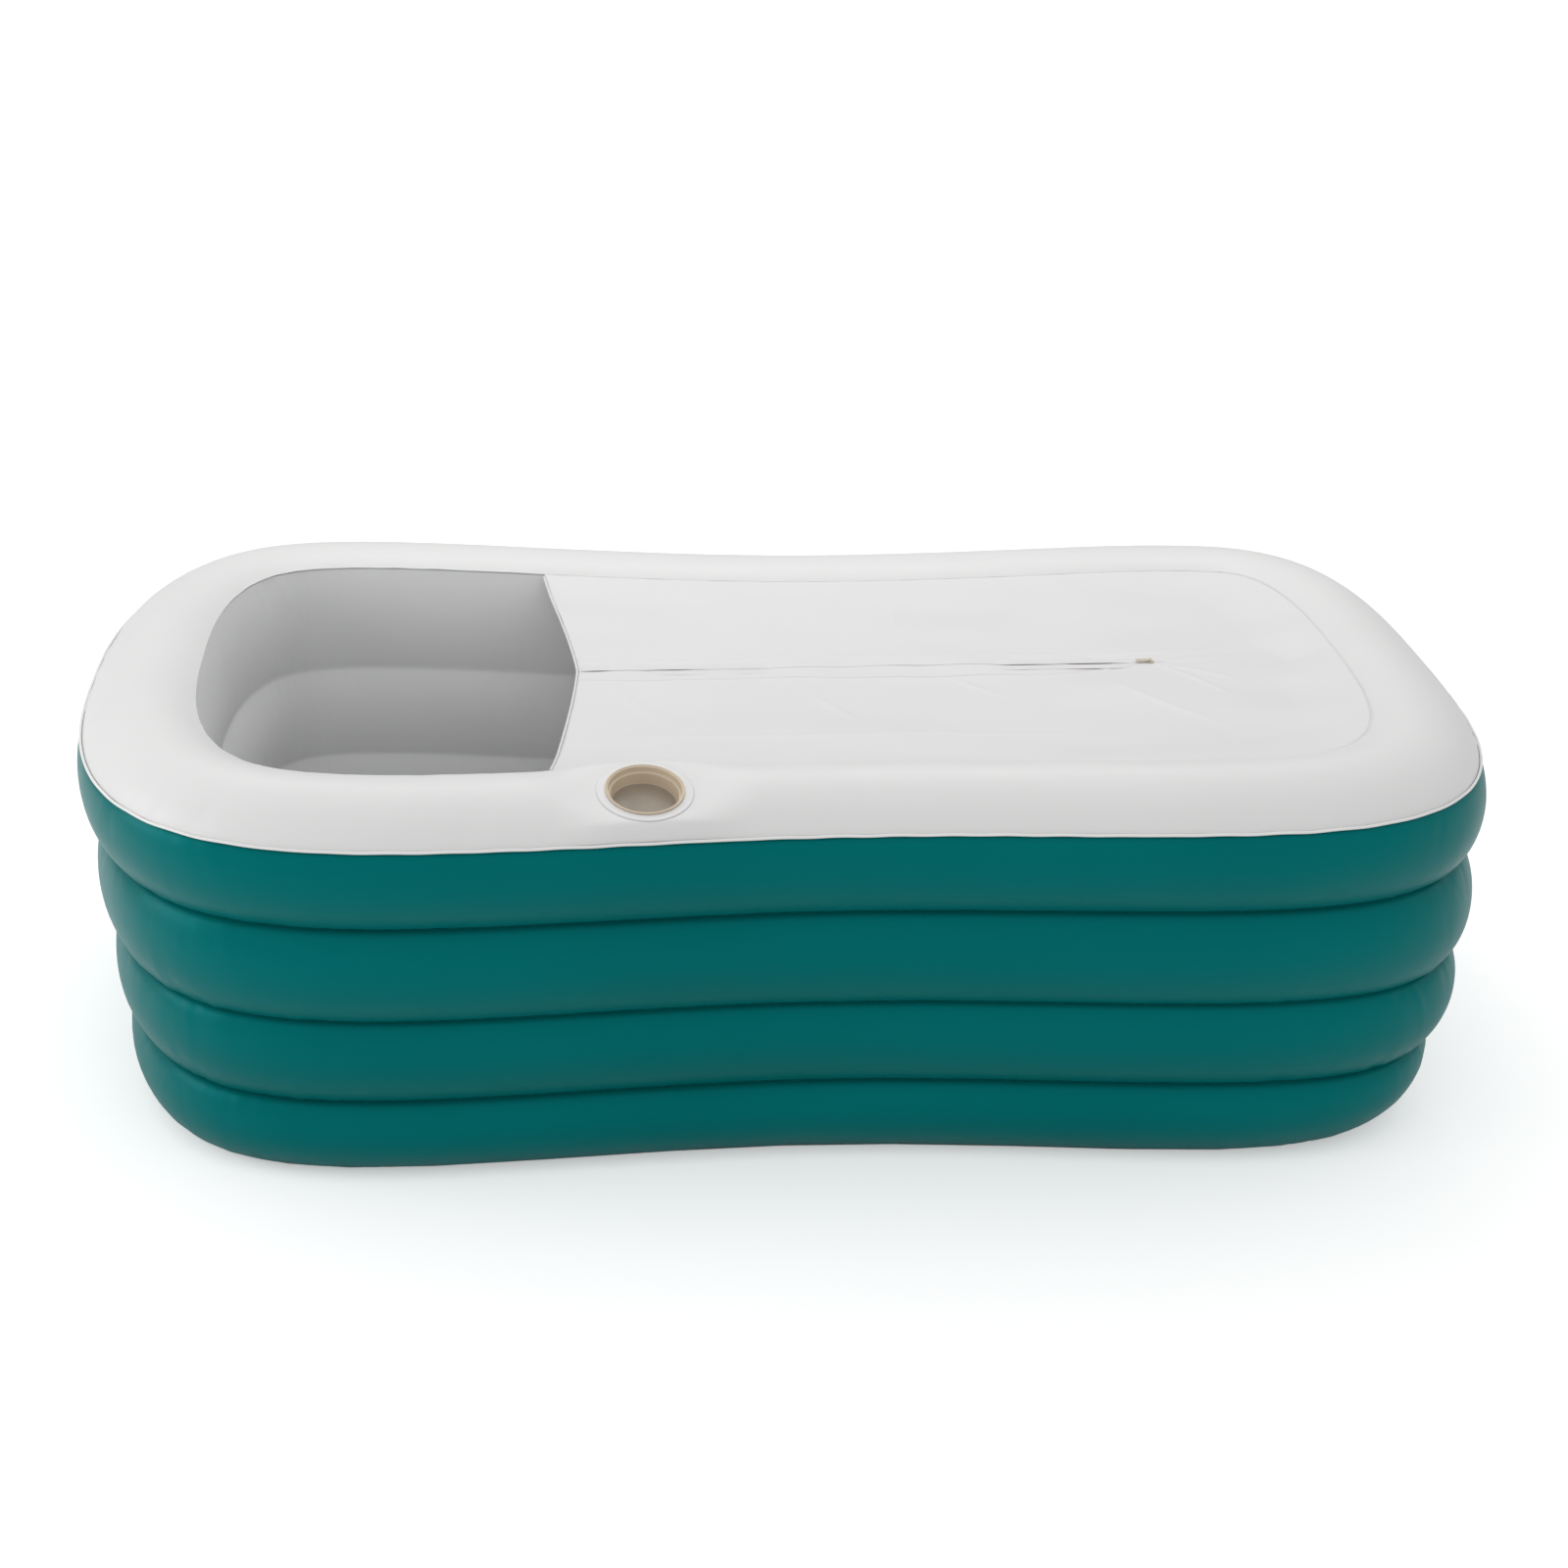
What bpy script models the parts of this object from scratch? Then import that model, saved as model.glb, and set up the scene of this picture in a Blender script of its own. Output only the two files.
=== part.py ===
"""Inflatable bathtub: four stacked air rings under a white top skin, a zipped cover and a cup holder.

Metres, +Z up. The length runs along X with the head end at -X, and the near side, with the cup
holder, is at -Y. The origin is on the ground under the middle of the tub. Every film is an open
sheet lofted round the same plan and thickened inwards, so neighbouring films share their stations.
"""
import math

import bmesh
import bpy
import numpy as np
from mathutils import Matrix, Vector

# Films and welds
FILM = 0.0004
WELD_GAP = 0.0003
CUT_OVERRUN = 0.010
MERGE = 0.00001

# Plan, along the outer seam: side curves that flare from the waist, and rounded ends
LENGTH = 1.600
WAIST_WIDTH = 0.842
HEAD_FLARE_WIDTH = 1.330
FOOT_FLARE_WIDTH = 1.192
HEAD_CORNER_POWER = 2.61
FOOT_CORNER_POWER = 2.99
STATIONS_PER_SIDE = 24
CORNER_CROWDING = 0.35
PLAN_SAMPLES = 6000

# Heights at mid-length, and how much higher the seam stands at the two ends
SEAM_HEIGHT = 0.4237
HEAD_RISE = 0.0036
FOOT_RISE = 0.0283
GROOVE_HEIGHTS = (0.3215, 0.2043, 0.0980)

# Outer wall: how far each groove and the ground edge stand in from the seam, and each ring's bulge
GROOVE_SETBACKS = (0.022, 0.034, 0.049)
GROUND_SETBACK = 0.075
OUTER_BULGES = (0.0165, 0.0190, 0.0175, 0.0250)
OUTER_STEPS = 4

# Top skin, from the outer seam over the crown to the inner weld
RIM_WIDTH = 0.124
RIM_RISE = 0.031
RIM_ARCH = 0.028
RIM_STEPS = 8

# Inner wall
INNER_GROOVE_SETBACKS = (0.136, 0.146, 0.157)
INNER_GROUND_SETBACK = 0.168
INNER_BULGES = (0.010, 0.012, 0.012, 0.012)
INNER_STEPS = 2

# Base sheet and air floor
BASE_LIP = 0.002
FLOOR_SETBACK = INNER_GROUND_SETBACK + WELD_GAP + FILM
FLOOR_WELD_HEIGHT = 0.014
FLOOR_CROWN = 0.032
FLOOR_WELD_SHARE = 0.50
FLOOR_SPINE_SHARE = 0.45
FLOOR_STEPS = 3

# Piping beads
SEAM_BEAD_RADIUS = 0.0016
RIM_BEAD_RADIUS = 0.0018
BEAD_SIDES = 6
SEAM_BEAD_STANDOFF = 1.15

# Cover, welded to the inner weld from the opening's corners to the foot end
COVER_FILM = 0.0004
OPENING_CORNER_X = -0.275
OPENING_MIDDLE_X = -0.238
OPENING_CURVE_POWER = 1.3
COVER_BORDER_BAND = 0.080
COVER_LINE_HEAD_HEIGHT = 0.4435
COVER_LINE_FOOT_HEIGHT = 0.4625
COVER_FOOT_STRAIGHT = 0.560
COVER_BAND_SHARE_LIMIT = 0.40
COVER_FLAT_SHARE_LEAST = 0.80
HEM_RADIUS = 0.0014
HEM_RESOLUTION = 1
HEM_END_GAP = 0.006

# Zip on the cover's middle line
SLIT_END_X = 0.470
SLIT_HALF_WIDTH = 0.0012
ZIP_FLAT_HALF_WIDTH = 0.018
TAPE_THICKNESS = 0.0005
TAPE_INNER_Y = 0.0020
TAPE_OUTER_Y = 0.0155
TAPE_END_MARGIN = 0.004
COIL_INNER_Y = 0.0014
COIL_WIDTH = 0.0022
COIL_HEIGHT = 0.0022
SLIDER_REST_X = 0.452
SLIDER_LENGTH = 0.011
SLIDER_HALF_WIDTH = 0.0056
SLIDER_WALL = 0.0012
SLIDER_CLEARANCE = 0.0004
SLIDER_NECK_HALF_WIDTH = 0.0006
SLIDER_NECK_LENGTH = 0.0070
CROWN_HALF_WIDTH = 0.0034
CROWN_THICKNESS = 0.0010
CROWN_LENGTH = 0.0080
LUG_THICKNESS = 0.0008
LUG_HEIGHT = 0.0026
LUG_LENGTH = 0.0028
PIN_RADIUS = 0.0005
PIN_SIDES = 8
PULL_EYE_RADIUS = 0.0008
PULL_THICKNESS = 0.0026
PULL_HALF_WIDTH = 0.0022
PULL_TAB_HALF_WIDTH = 0.0032
PULL_TAB_THICKNESS = 0.0012
PULL_LENGTH = 0.0180
ZIP_STOP_LENGTH = 0.0030
ZIP_STOP_HALF_WIDTH = 0.0030

# Cup holder on the near side of the rim
CUP_X = -0.171
CUP_SEAT_SINK = 0.009
CUP_LIP_RADIUS = 0.0424
CUP_LIP_HEIGHT = 0.0022
CUP_BODY_RADIUS = 0.0390
CUP_FOOT_RADIUS = 0.0370
CUP_DEPTH = 0.0190
CUP_WALL = 0.0018
CUP_LEDGE_WIDTH = 0.0022
CUP_LEDGE_DEPTH = 0.0040
CUP_SIDES = 24
FLANGE_RADIUS = 0.0520
FLANGE_THICKNESS = 0.0008
FLAT_RADIUS = 0.0700
FLAT_BLEND_RADIUS = 0.1050
CUP_COLUMNS = 8
CUP_REACH = 0.105

# Air valves, each with a base, a screwed-in insert, a flap and a cap on a strap ring
VALVE_SIDES = 16
VALVE_FLANGE_RADIUS = 0.0290
VALVE_FLANGE_THICKNESS = 0.0014
VALVE_NECK_RADIUS = 0.0190
VALVE_BORE_RADIUS = 0.0162
VALVE_NECK_HEIGHT = 0.0095
INSERT_RADIUS_GAP = 0.0004
INSERT_BORE_RADIUS = 0.0095
INSERT_THICKNESS = 0.0022
FLAP_RADIUS = 0.0125
FLAP_THICKNESS = 0.0008
CAP_SKIRT_DEPTH = 0.0040
CAP_WALL = 0.0018
CAP_CLEARANCE = 0.0006
STRAP_THICKNESS = 0.0014
STRAP_RING_WIDTH = 0.0022
STRAP_HALF_WIDTH = 0.0045
HINGE_REACH = 0.0270
HINGE_GAP = 0.0006
WALL_VALVE_X = 0.080
WALL_VALVE_RINGS = (1, 3)
FLOOR_VALVE_X = 0.250
FLOOR_VALVE_SINK = 0.0045

# Drain at the foot end, through the lowest ring
DRAIN_SIDES = 16
DRAIN_RADIUS = 0.0150
DRAIN_BORE_RADIUS = 0.0120
DRAIN_FLANGE_RADIUS = 0.0240
DRAIN_FLANGE_THICKNESS = 0.0020
DRAIN_COLLAR_THICKNESS = 0.0025
DRAIN_REACH = 0.0060
PLUG_HEAD_RADIUS = 0.0170
PLUG_HEAD_THICKNESS = 0.0030
PLUG_STEM_LENGTH = 0.0140
PLUG_CLEARANCE = 0.0005
PLUG_GRIP_HALF_WIDTH = 0.0020
PLUG_GRIP_HALF_LENGTH = 0.0110
PLUG_GRIP_HEIGHT = 0.0060


def clear_scene():
    for thing in list(bpy.data.objects):
        bpy.data.objects.remove(thing, do_unlink=True)


def new_collection(name):
    collection = bpy.data.collections.new(name)
    bpy.context.scene.collection.children.link(collection)
    return collection


clear_scene()
TUB = new_collection("inflatable_bathtub")
CUTTERS = new_collection("cutters")


def plastic(name, colour, roughness):
    """A Principled plastic of one colour."""
    material = bpy.data.materials.new(name)
    material.use_nodes = True
    shader = material.node_tree.nodes["Principled BSDF"]
    shader.inputs["Base Color"].default_value = (*colour, 1.0)
    shader.inputs["Roughness"].default_value = roughness
    shader.inputs["Metallic"].default_value = 0.0
    material.diffuse_color = (*colour, 1.0)
    return material


TEAL = (0.0, 0.13, 0.13)
WHITE = (0.76, 0.76, 0.76)
GREY = (0.55, 0.56, 0.57)
BEIGE = (0.42, 0.37, 0.28)
CLEAR = (0.70, 0.72, 0.72)
DARK = (0.10, 0.09, 0.11)


def mesh_object(name, bm, colour, roughness=0.45):
    """Give a bmesh a named object with its own material, in the tub's collection."""
    mesh = bpy.data.meshes.new(name)
    bm.to_mesh(mesh)
    bm.free()
    thing = bpy.data.objects.new(name, mesh)
    TUB.objects.link(thing)
    mesh.materials.append(plastic(name, colour, roughness))
    return thing


def solidify(thing, thickness, offset=-1.0):
    film = thing.modifiers.new("film", "SOLIDIFY")
    film.thickness = thickness
    film.offset = offset
    film.use_even_offset = True


def as_cutter(thing):
    for collection in list(thing.users_collection):
        collection.objects.unlink(thing)
    CUTTERS.objects.link(thing)
    thing.hide_render = True
    thing.display_type = "WIRE"


def cut(thing, cutter):
    as_cutter(cutter)
    hole = thing.modifiers.new("hole", "BOOLEAN")
    hole.operation = "DIFFERENCE"
    hole.object = cutter


def join(thing, addition):
    """Fuse an addition into a piece."""
    as_cutter(addition)
    union = thing.modifiers.new("union", "BOOLEAN")
    union.operation = "UNION"
    union.object = addition


# The plan


def lift(along):
    """Height factor of the tub at a place along its length, -1 at the head and +1 at the foot."""
    lean = (FOOT_RISE - HEAD_RISE) / 2
    dish = (FOOT_RISE + HEAD_RISE) / 2
    return 1 + (lean * along + dish * along ** 2) / SEAM_HEIGHT


def side_half_width(along):
    lean = (FOOT_FLARE_WIDTH - HEAD_FLARE_WIDTH) / 4
    flare = (FOOT_FLARE_WIDTH + HEAD_FLARE_WIDTH) / 4 - WAIST_WIDTH / 2
    return WAIST_WIDTH / 2 + lean * along + flare * along ** 2


def far_side_samples():
    """Points of the seam's far half, close together, from the foot's tip to the head's tip."""
    angle = np.linspace(0, math.pi, PLAN_SAMPLES)
    cosine = np.cos(angle)
    sine = np.clip(np.sin(angle), 0, 1)
    power = np.where(cosine > 0, FOOT_CORNER_POWER, HEAD_CORNER_POWER)
    along = np.sign(cosine) * np.abs(cosine) ** (2 / power)
    across = side_half_width(along) * sine ** (2 / power)
    return np.stack([along * LENGTH / 2, across], axis=1)


def far_side_stations():
    """Seam points with their outward normals, closer together where the plan turns."""
    points = far_side_samples()
    steps = np.diff(points, axis=0)
    lengths = np.linalg.norm(steps, axis=1)
    heading = np.unwrap(np.arctan2(steps[:, 1], steps[:, 0]))
    turn = np.abs(np.diff(heading, prepend=heading[0]))
    cost = np.concatenate([[0], np.cumsum(lengths + CORNER_CROWDING * turn)])
    places = np.linspace(0, cost[-1], STATIONS_PER_SIDE + 1)
    middles = (cost[1:] + cost[:-1]) / 2
    stations = []
    for place in places:
        x = float(np.interp(place, cost, points[:, 0]))
        y = float(np.interp(place, cost, points[:, 1]))
        direction = float(np.interp(place, middles, heading))
        stations.append((x, y, math.sin(direction), -math.cos(direction)))
    first = stations[0]
    last = stations[-1]
    stations[0] = (first[0], 0.0, 1.0, 0.0)
    stations[-1] = (last[0], 0.0, -1.0, 0.0)
    return stations


FAR_SIDE = far_side_stations()
NEAR_SIDE = [(x, -y, nx, -ny) for x, y, nx, ny in FAR_SIDE]
LOOP = FAR_SIDE + NEAR_SIDE[-2:0:-1]


def place(station, point):
    """World position of a profile point (outward, height) at a station."""
    x, y, nx, ny = station
    outward, height = point
    return Vector((x + nx * outward, y + ny * outward, height * lift(x / (LENGTH / 2))))


def station_at(side, x):
    """The station on one side's facets at a given seam x."""
    for first, second in zip(side, side[1:]):
        if second[0] <= x <= first[0]:
            share = (first[0] - x) / (first[0] - second[0])
            return tuple(a + (b - a) * share for a, b in zip(first, second))
    raise ValueError("x lies beyond the tub")


# Profiles, as (outward from the seam, height at mid-length)


def arc(start, end, bulge, steps):
    """Points of the circular arc from start to end that bulges to its left."""
    across = (end[0] - start[0], end[1] - start[1])
    span = math.hypot(*across)
    unit = (across[0] / span, across[1] / span)
    radius = (span ** 2 / 4 + bulge ** 2) / (2 * bulge)
    sweep = math.asin(span / 2 / radius)
    points = []
    for step in range(steps + 1):
        angle = sweep * (2 * step / steps - 1)
        run = span / 2 + radius * math.sin(angle)
        rise = radius * math.cos(angle) - (radius - bulge)
        outward = start[0] + unit[0] * run - unit[1] * rise
        height = start[1] + unit[1] * run + unit[0] * rise
        points.append((outward, height))
    return points


SEAM = (0.0, SEAM_HEIGHT)
WELD = (-RIM_WIDTH, SEAM_HEIGHT + RIM_RISE)
HALF_WEB = FILM / 2 + WELD_GAP
OUTER_GROOVES = [SEAM] + [(-back, high) for back, high in zip(GROOVE_SETBACKS, GROOVE_HEIGHTS)]
OUTER_GROOVES.append((-GROUND_SETBACK, FILM + WELD_GAP))
INNER_GROOVES = [(-back, high) for back, high in zip(INNER_GROOVE_SETBACKS, GROOVE_HEIGHTS)]


def rim_profile():
    """The top skin's arch, from the inner weld out to the seam."""
    return arc(WELD, (SEAM[0], SEAM[1] + WELD_GAP), RIM_ARCH, RIM_STEPS)


def outer_profile(ring):
    """One ring's outer wall, from its upper weld down to its lower one."""
    top = OUTER_GROOVES[ring]
    bottom = OUTER_GROOVES[ring + 1]
    upper = (top[0], top[1] - (HALF_WEB if ring else WELD_GAP))
    is_lowest = ring == len(OUTER_BULGES) - 1
    lower = bottom if is_lowest else (bottom[0], bottom[1] + HALF_WEB)
    return arc(upper, lower, OUTER_BULGES[ring], OUTER_STEPS)


def inner_profile():
    """The bath side of the wall, from the base sheet up to just under the inner weld."""
    corners = [(-INNER_GROUND_SETBACK, FILM + WELD_GAP)]
    corners += INNER_GROOVES[::-1]
    corners.append((WELD[0], WELD[1] - FILM - WELD_GAP))
    points = corners[:1]
    for low, high, bulge in zip(corners, corners[1:], INNER_BULGES[::-1]):
        points += arc(low, high, bulge, INNER_STEPS)[1:]
    return points


# Films round the tub


def loft(rows_of_points, closed):
    """Quads between rows of points, each row one station's profile."""
    bm = bmesh.new()
    rows = [[bm.verts.new(point) for point in row] for row in rows_of_points]
    pairs = list(zip(rows, rows[1:]))
    if closed:
        pairs.append((rows[-1], rows[0]))
    for first, second in pairs:
        for upper in range(len(first) - 1):
            corners = (first[upper], first[upper + 1], second[upper + 1], second[upper])
            bm.faces.new(list(dict.fromkeys(corners)))
    return bm


def wall_film(name, profile, colour, thickness=FILM, offset=-1.0):
    rows = [[place(station, point) for point in profile] for station in LOOP]
    thing = mesh_object(name, loft(rows, closed=True), colour)
    solidify(thing, thickness, offset)
    return thing


def bead(name, centre, radius, sides, colour):
    """A round bead of piping that follows the whole plan."""
    rows = []
    for station in LOOP:
        ring = []
        for side in range(sides):
            angle = -2 * math.pi * side / sides
            spot = (centre[0] + radius * math.cos(angle), centre[1] + radius * math.sin(angle))
            ring.append(place(station, spot))
        rows.append(ring)
    bm = bmesh.new()
    loops = [[bm.verts.new(point) for point in ring] for ring in rows]
    for first, second in zip(loops, loops[1:] + loops[:1]):
        for side in range(sides):
            after = (side + 1) % sides
            bm.faces.new((first[side], first[after], second[after], second[side]))
    return mesh_object(name, bm, colour)


# Frames for the fittings: local Z points out of the film, local Y up the wall


def frame_matrix(origin, outward, upward):
    outward = outward.normalized()
    sideways = upward.cross(outward).normalized()
    up = outward.cross(sideways)
    matrix = Matrix((sideways, up, outward)).transposed().to_4x4()
    matrix.translation = origin
    return matrix


def turned(name, profile, sides, colour, matrix, roughness=0.4):
    """A closed profile of (radius, height) points, down the outside and up the inside, turned."""
    bm = bmesh.new()
    verts = [bm.verts.new((radius, 0.0, height)) for radius, height in profile]
    for first, second in zip(verts, verts[1:] + verts[:1]):
        if first.co.x > MERGE or second.co.x > MERGE:
            bm.edges.new((first, second))
    thing = mesh_object(name, bm, colour, roughness)
    screw = thing.modifiers.new("turn", "SCREW")
    screw.steps = sides
    screw.render_steps = sides
    screw.axis = "Z"
    screw.use_merge_vertices = True
    screw.merge_threshold = MERGE
    screw.use_smooth_shade = False
    thing.matrix_world = matrix
    return thing


def cylinder(name, radius, low, high, sides, colour, matrix):
    bm = bmesh.new()
    middle = Matrix.Translation((0.0, 0.0, (low + high) / 2))
    bmesh.ops.create_cone(
        bm, cap_ends=True, segments=sides, radius1=radius, radius2=radius, depth=high - low, matrix=middle
    )
    thing = mesh_object(name, bm, colour)
    thing.matrix_world = matrix
    return thing


def box(name, low, high, colour, matrix):
    bm = bmesh.new()
    bmesh.ops.create_cube(bm, size=1.0)
    for vert in bm.verts:
        for axis in range(3):
            vert.co[axis] = low[axis] if vert.co[axis] < 0 else high[axis]
    thing = mesh_object(name, bm, colour)
    thing.matrix_world = matrix
    return thing


def hole_cutter(name, radius, reach, sides, matrix):
    return cylinder(name, radius, -reach, reach, sides, DARK, matrix)


# The rim and the cup holder


def cup_frame():
    """The cup holder's seat, sunk square to the rim's crown."""
    station = station_at(NEAR_SIDE, CUP_X)
    profile = rim_profile()
    middle = len(profile) // 2
    origin = place(station, profile[middle])
    across = place(station, profile[middle + 1]) - place(station, profile[middle - 1])
    beside = station_at(NEAR_SIDE, CUP_X + CUP_LIP_RADIUS)
    along = place(beside, profile[middle]) - origin
    seat = frame_matrix(origin, along.cross(-across), -across)
    return seat @ Matrix.Translation((0.0, 0.0, -CUP_SEAT_SINK))


def smooth_fall(value, full, nothing):
    share = min(1.0, max(0.0, (nothing - value) / (nothing - full)))
    return share * share * (3 - 2 * share)


def flattened(point, to_cup, from_cup):
    """A point of the top skin, drawn onto the cup holder's seat near the cup."""
    local = to_cup @ point
    pull = smooth_fall(math.hypot(local.x, local.y), FLAT_RADIUS, FLAT_BLEND_RADIUS)
    local.z *= 1 - pull
    return from_cup @ local


def top_skin(cup):
    """The white skin over the crown, with finer columns and a flat seat at the cup holder."""
    profile = rim_profile()
    to_cup = cup.inverted()
    rows = []
    for first, second in zip(LOOP, LOOP[1:] + LOOP[:1]):
        start = [place(first, point) for point in profile]
        end = [place(second, point) for point in profile]
        is_near = first[1] + second[1] < 0
        meets_cup = first[0] < CUP_X + CUP_REACH and second[0] > CUP_X - CUP_REACH
        columns = CUP_COLUMNS if is_near and meets_cup else 1
        for column in range(columns):
            row = [a.lerp(b, column / columns) for a, b in zip(start, end)]
            if is_near:
                row[1:-1] = [flattened(point, to_cup, cup) for point in row[1:-1]]
            rows.append(row)
    thing = mesh_object("top_skin", loft(rows, closed=True), WHITE)
    solidify(thing, FILM)
    radius = CUP_BODY_RADIUS + WELD_GAP
    cut(thing, hole_cutter("cup_hole", radius, CUT_OVERRUN, CUP_SIDES, cup))


def cup_holder(cup):
    seat = WELD_GAP + FLANGE_THICKNESS + WELD_GAP
    top = seat + CUP_LIP_HEIGHT
    lip_inner = CUP_BODY_RADIUS - CUP_WALL / 2
    ledge_radius = lip_inner - CUP_LEDGE_WIDTH
    profile = [
        (CUP_LIP_RADIUS, top),
        (CUP_LIP_RADIUS, seat),
        (CUP_BODY_RADIUS, seat),
        (CUP_FOOT_RADIUS, -CUP_DEPTH),
        (0.0, -CUP_DEPTH),
        (0.0, CUP_WALL - CUP_DEPTH),
        (CUP_FOOT_RADIUS - CUP_WALL - CUP_LEDGE_WIDTH, CUP_WALL - CUP_DEPTH),
        (ledge_radius, -CUP_LEDGE_DEPTH),
        (lip_inner, -CUP_LEDGE_DEPTH),
        (lip_inner + CUP_WALL / 2, top),
    ]
    turned("cup_holder", profile, CUP_SIDES, BEIGE, cup)
    inner = CUP_BODY_RADIUS + WELD_GAP
    ring = [
        (FLANGE_RADIUS, WELD_GAP + FLANGE_THICKNESS),
        (FLANGE_RADIUS, WELD_GAP),
        (inner, WELD_GAP),
        (inner, WELD_GAP + FLANGE_THICKNESS),
    ]
    turned("cup_flange", ring, CUP_SIDES, WHITE, cup)


# Air valves


def valve(name, frame, sink):
    """One valve. The frame's origin is on the film's outer face, and the hinge is on its +Y side."""
    bottom = -sink - VALVE_FLANGE_THICKNESS
    base = [
        (VALVE_NECK_RADIUS, VALVE_NECK_HEIGHT),
        (VALVE_NECK_RADIUS, -sink),
        (VALVE_FLANGE_RADIUS, -sink),
        (VALVE_FLANGE_RADIUS, bottom),
        (VALVE_BORE_RADIUS, bottom),
        (VALVE_BORE_RADIUS, VALVE_NECK_HEIGHT),
    ]
    turned(name + "_base", base, VALVE_SIDES, CLEAR, frame)
    insert_radius = VALVE_BORE_RADIUS - INSERT_RADIUS_GAP
    insert = [
        (insert_radius, bottom + INSERT_THICKNESS),
        (insert_radius, bottom),
        (INSERT_BORE_RADIUS, bottom),
        (INSERT_BORE_RADIUS, bottom + INSERT_THICKNESS),
    ]
    turned(name + "_insert", insert, VALVE_SIDES, CLEAR, frame)
    flap_top = bottom - WELD_GAP
    cylinder(name + "_flap", FLAP_RADIUS, flap_top - FLAP_THICKNESS, flap_top, VALVE_SIDES, GREY, frame)
    ring_low = WELD_GAP * 2
    ring_high = ring_low + STRAP_THICKNESS
    ring_inner = VALVE_NECK_RADIUS + WELD_GAP
    ring_outer = ring_inner + STRAP_RING_WIDTH
    ring = [
        (ring_outer, ring_high),
        (ring_outer, ring_low),
        (ring_inner, ring_low),
        (ring_inner, ring_high),
    ]
    strap = turned(name + "_strap", ring, VALVE_SIDES, CLEAR, frame)
    cap_top = VALVE_NECK_HEIGHT + WELD_GAP + CAP_WALL
    skirt_end = cap_top - CAP_WALL - CAP_SKIRT_DEPTH
    root = ring_inner + STRAP_RING_WIDTH / 2
    tail = HINGE_REACH + STRAP_THICKNESS
    tail_low = (-STRAP_HALF_WIDTH, root, ring_low)
    join(strap, box(name + "_tail", tail_low, (STRAP_HALF_WIDTH, tail, ring_high), CLEAR, frame))
    post_low = (-STRAP_HALF_WIDTH, HINGE_REACH, (ring_low + ring_high) / 2)
    join(strap, box(name + "_post", post_low, (STRAP_HALF_WIDTH, tail, skirt_end), CLEAR, frame))
    inner = VALVE_NECK_RADIUS + CAP_CLEARANCE
    outer = inner + CAP_WALL
    shell = [
        (outer, cap_top),
        (outer, skirt_end),
        (inner, skirt_end),
        (inner, cap_top - CAP_WALL),
        (0.0, cap_top - CAP_WALL),
        (0.0, cap_top),
    ]
    cap = turned(name + "_cap", shell, VALVE_SIDES, CLEAR, frame)
    tab_low = (-STRAP_HALF_WIDTH, inner + CAP_WALL / 2, skirt_end + HINGE_GAP)
    tab_high = (STRAP_HALF_WIDTH, tail, skirt_end + HINGE_GAP + STRAP_THICKNESS)
    join(cap, box(name + "_tab", tab_low, tab_high, CLEAR, frame))


def valve_sink(ring):
    """How deep a flange lies behind the ring's crest, to clear the film that curves away round it."""
    profile = outer_profile(ring)
    half_span = math.dist(profile[0], profile[-1]) / 2
    return OUTER_BULGES[ring] * (VALVE_FLANGE_RADIUS / half_span) ** 2 + FILM + WELD_GAP * 2


def wall_valve_frame(ring):
    """Square to the crest of one ring's outer film, at the far side."""
    station = station_at(FAR_SIDE, WALL_VALVE_X)
    profile = outer_profile(ring)
    upward = place(station, profile[0]) - place(station, profile[-1])
    sideways = Vector((-station[3], station[2], 0.0))
    origin = place(station, profile[len(profile) // 2])
    return frame_matrix(origin, upward.cross(-sideways), upward)


def valve_hole(film, name, frame):
    cut(film, hole_cutter(name, VALVE_NECK_RADIUS + WELD_GAP, CUT_OVERRUN, VALVE_SIDES, frame))


# Drain


def drain_frame():
    """On the outermost line of the lowest ring's outer film, at the foot's tip."""
    furthest = max(outer_profile(len(OUTER_BULGES) - 1))
    return frame_matrix(place(FAR_SIDE[0], furthest), Vector((1.0, 0.0, 0.0)), Vector((0.0, 0.0, 1.0)))


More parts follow.
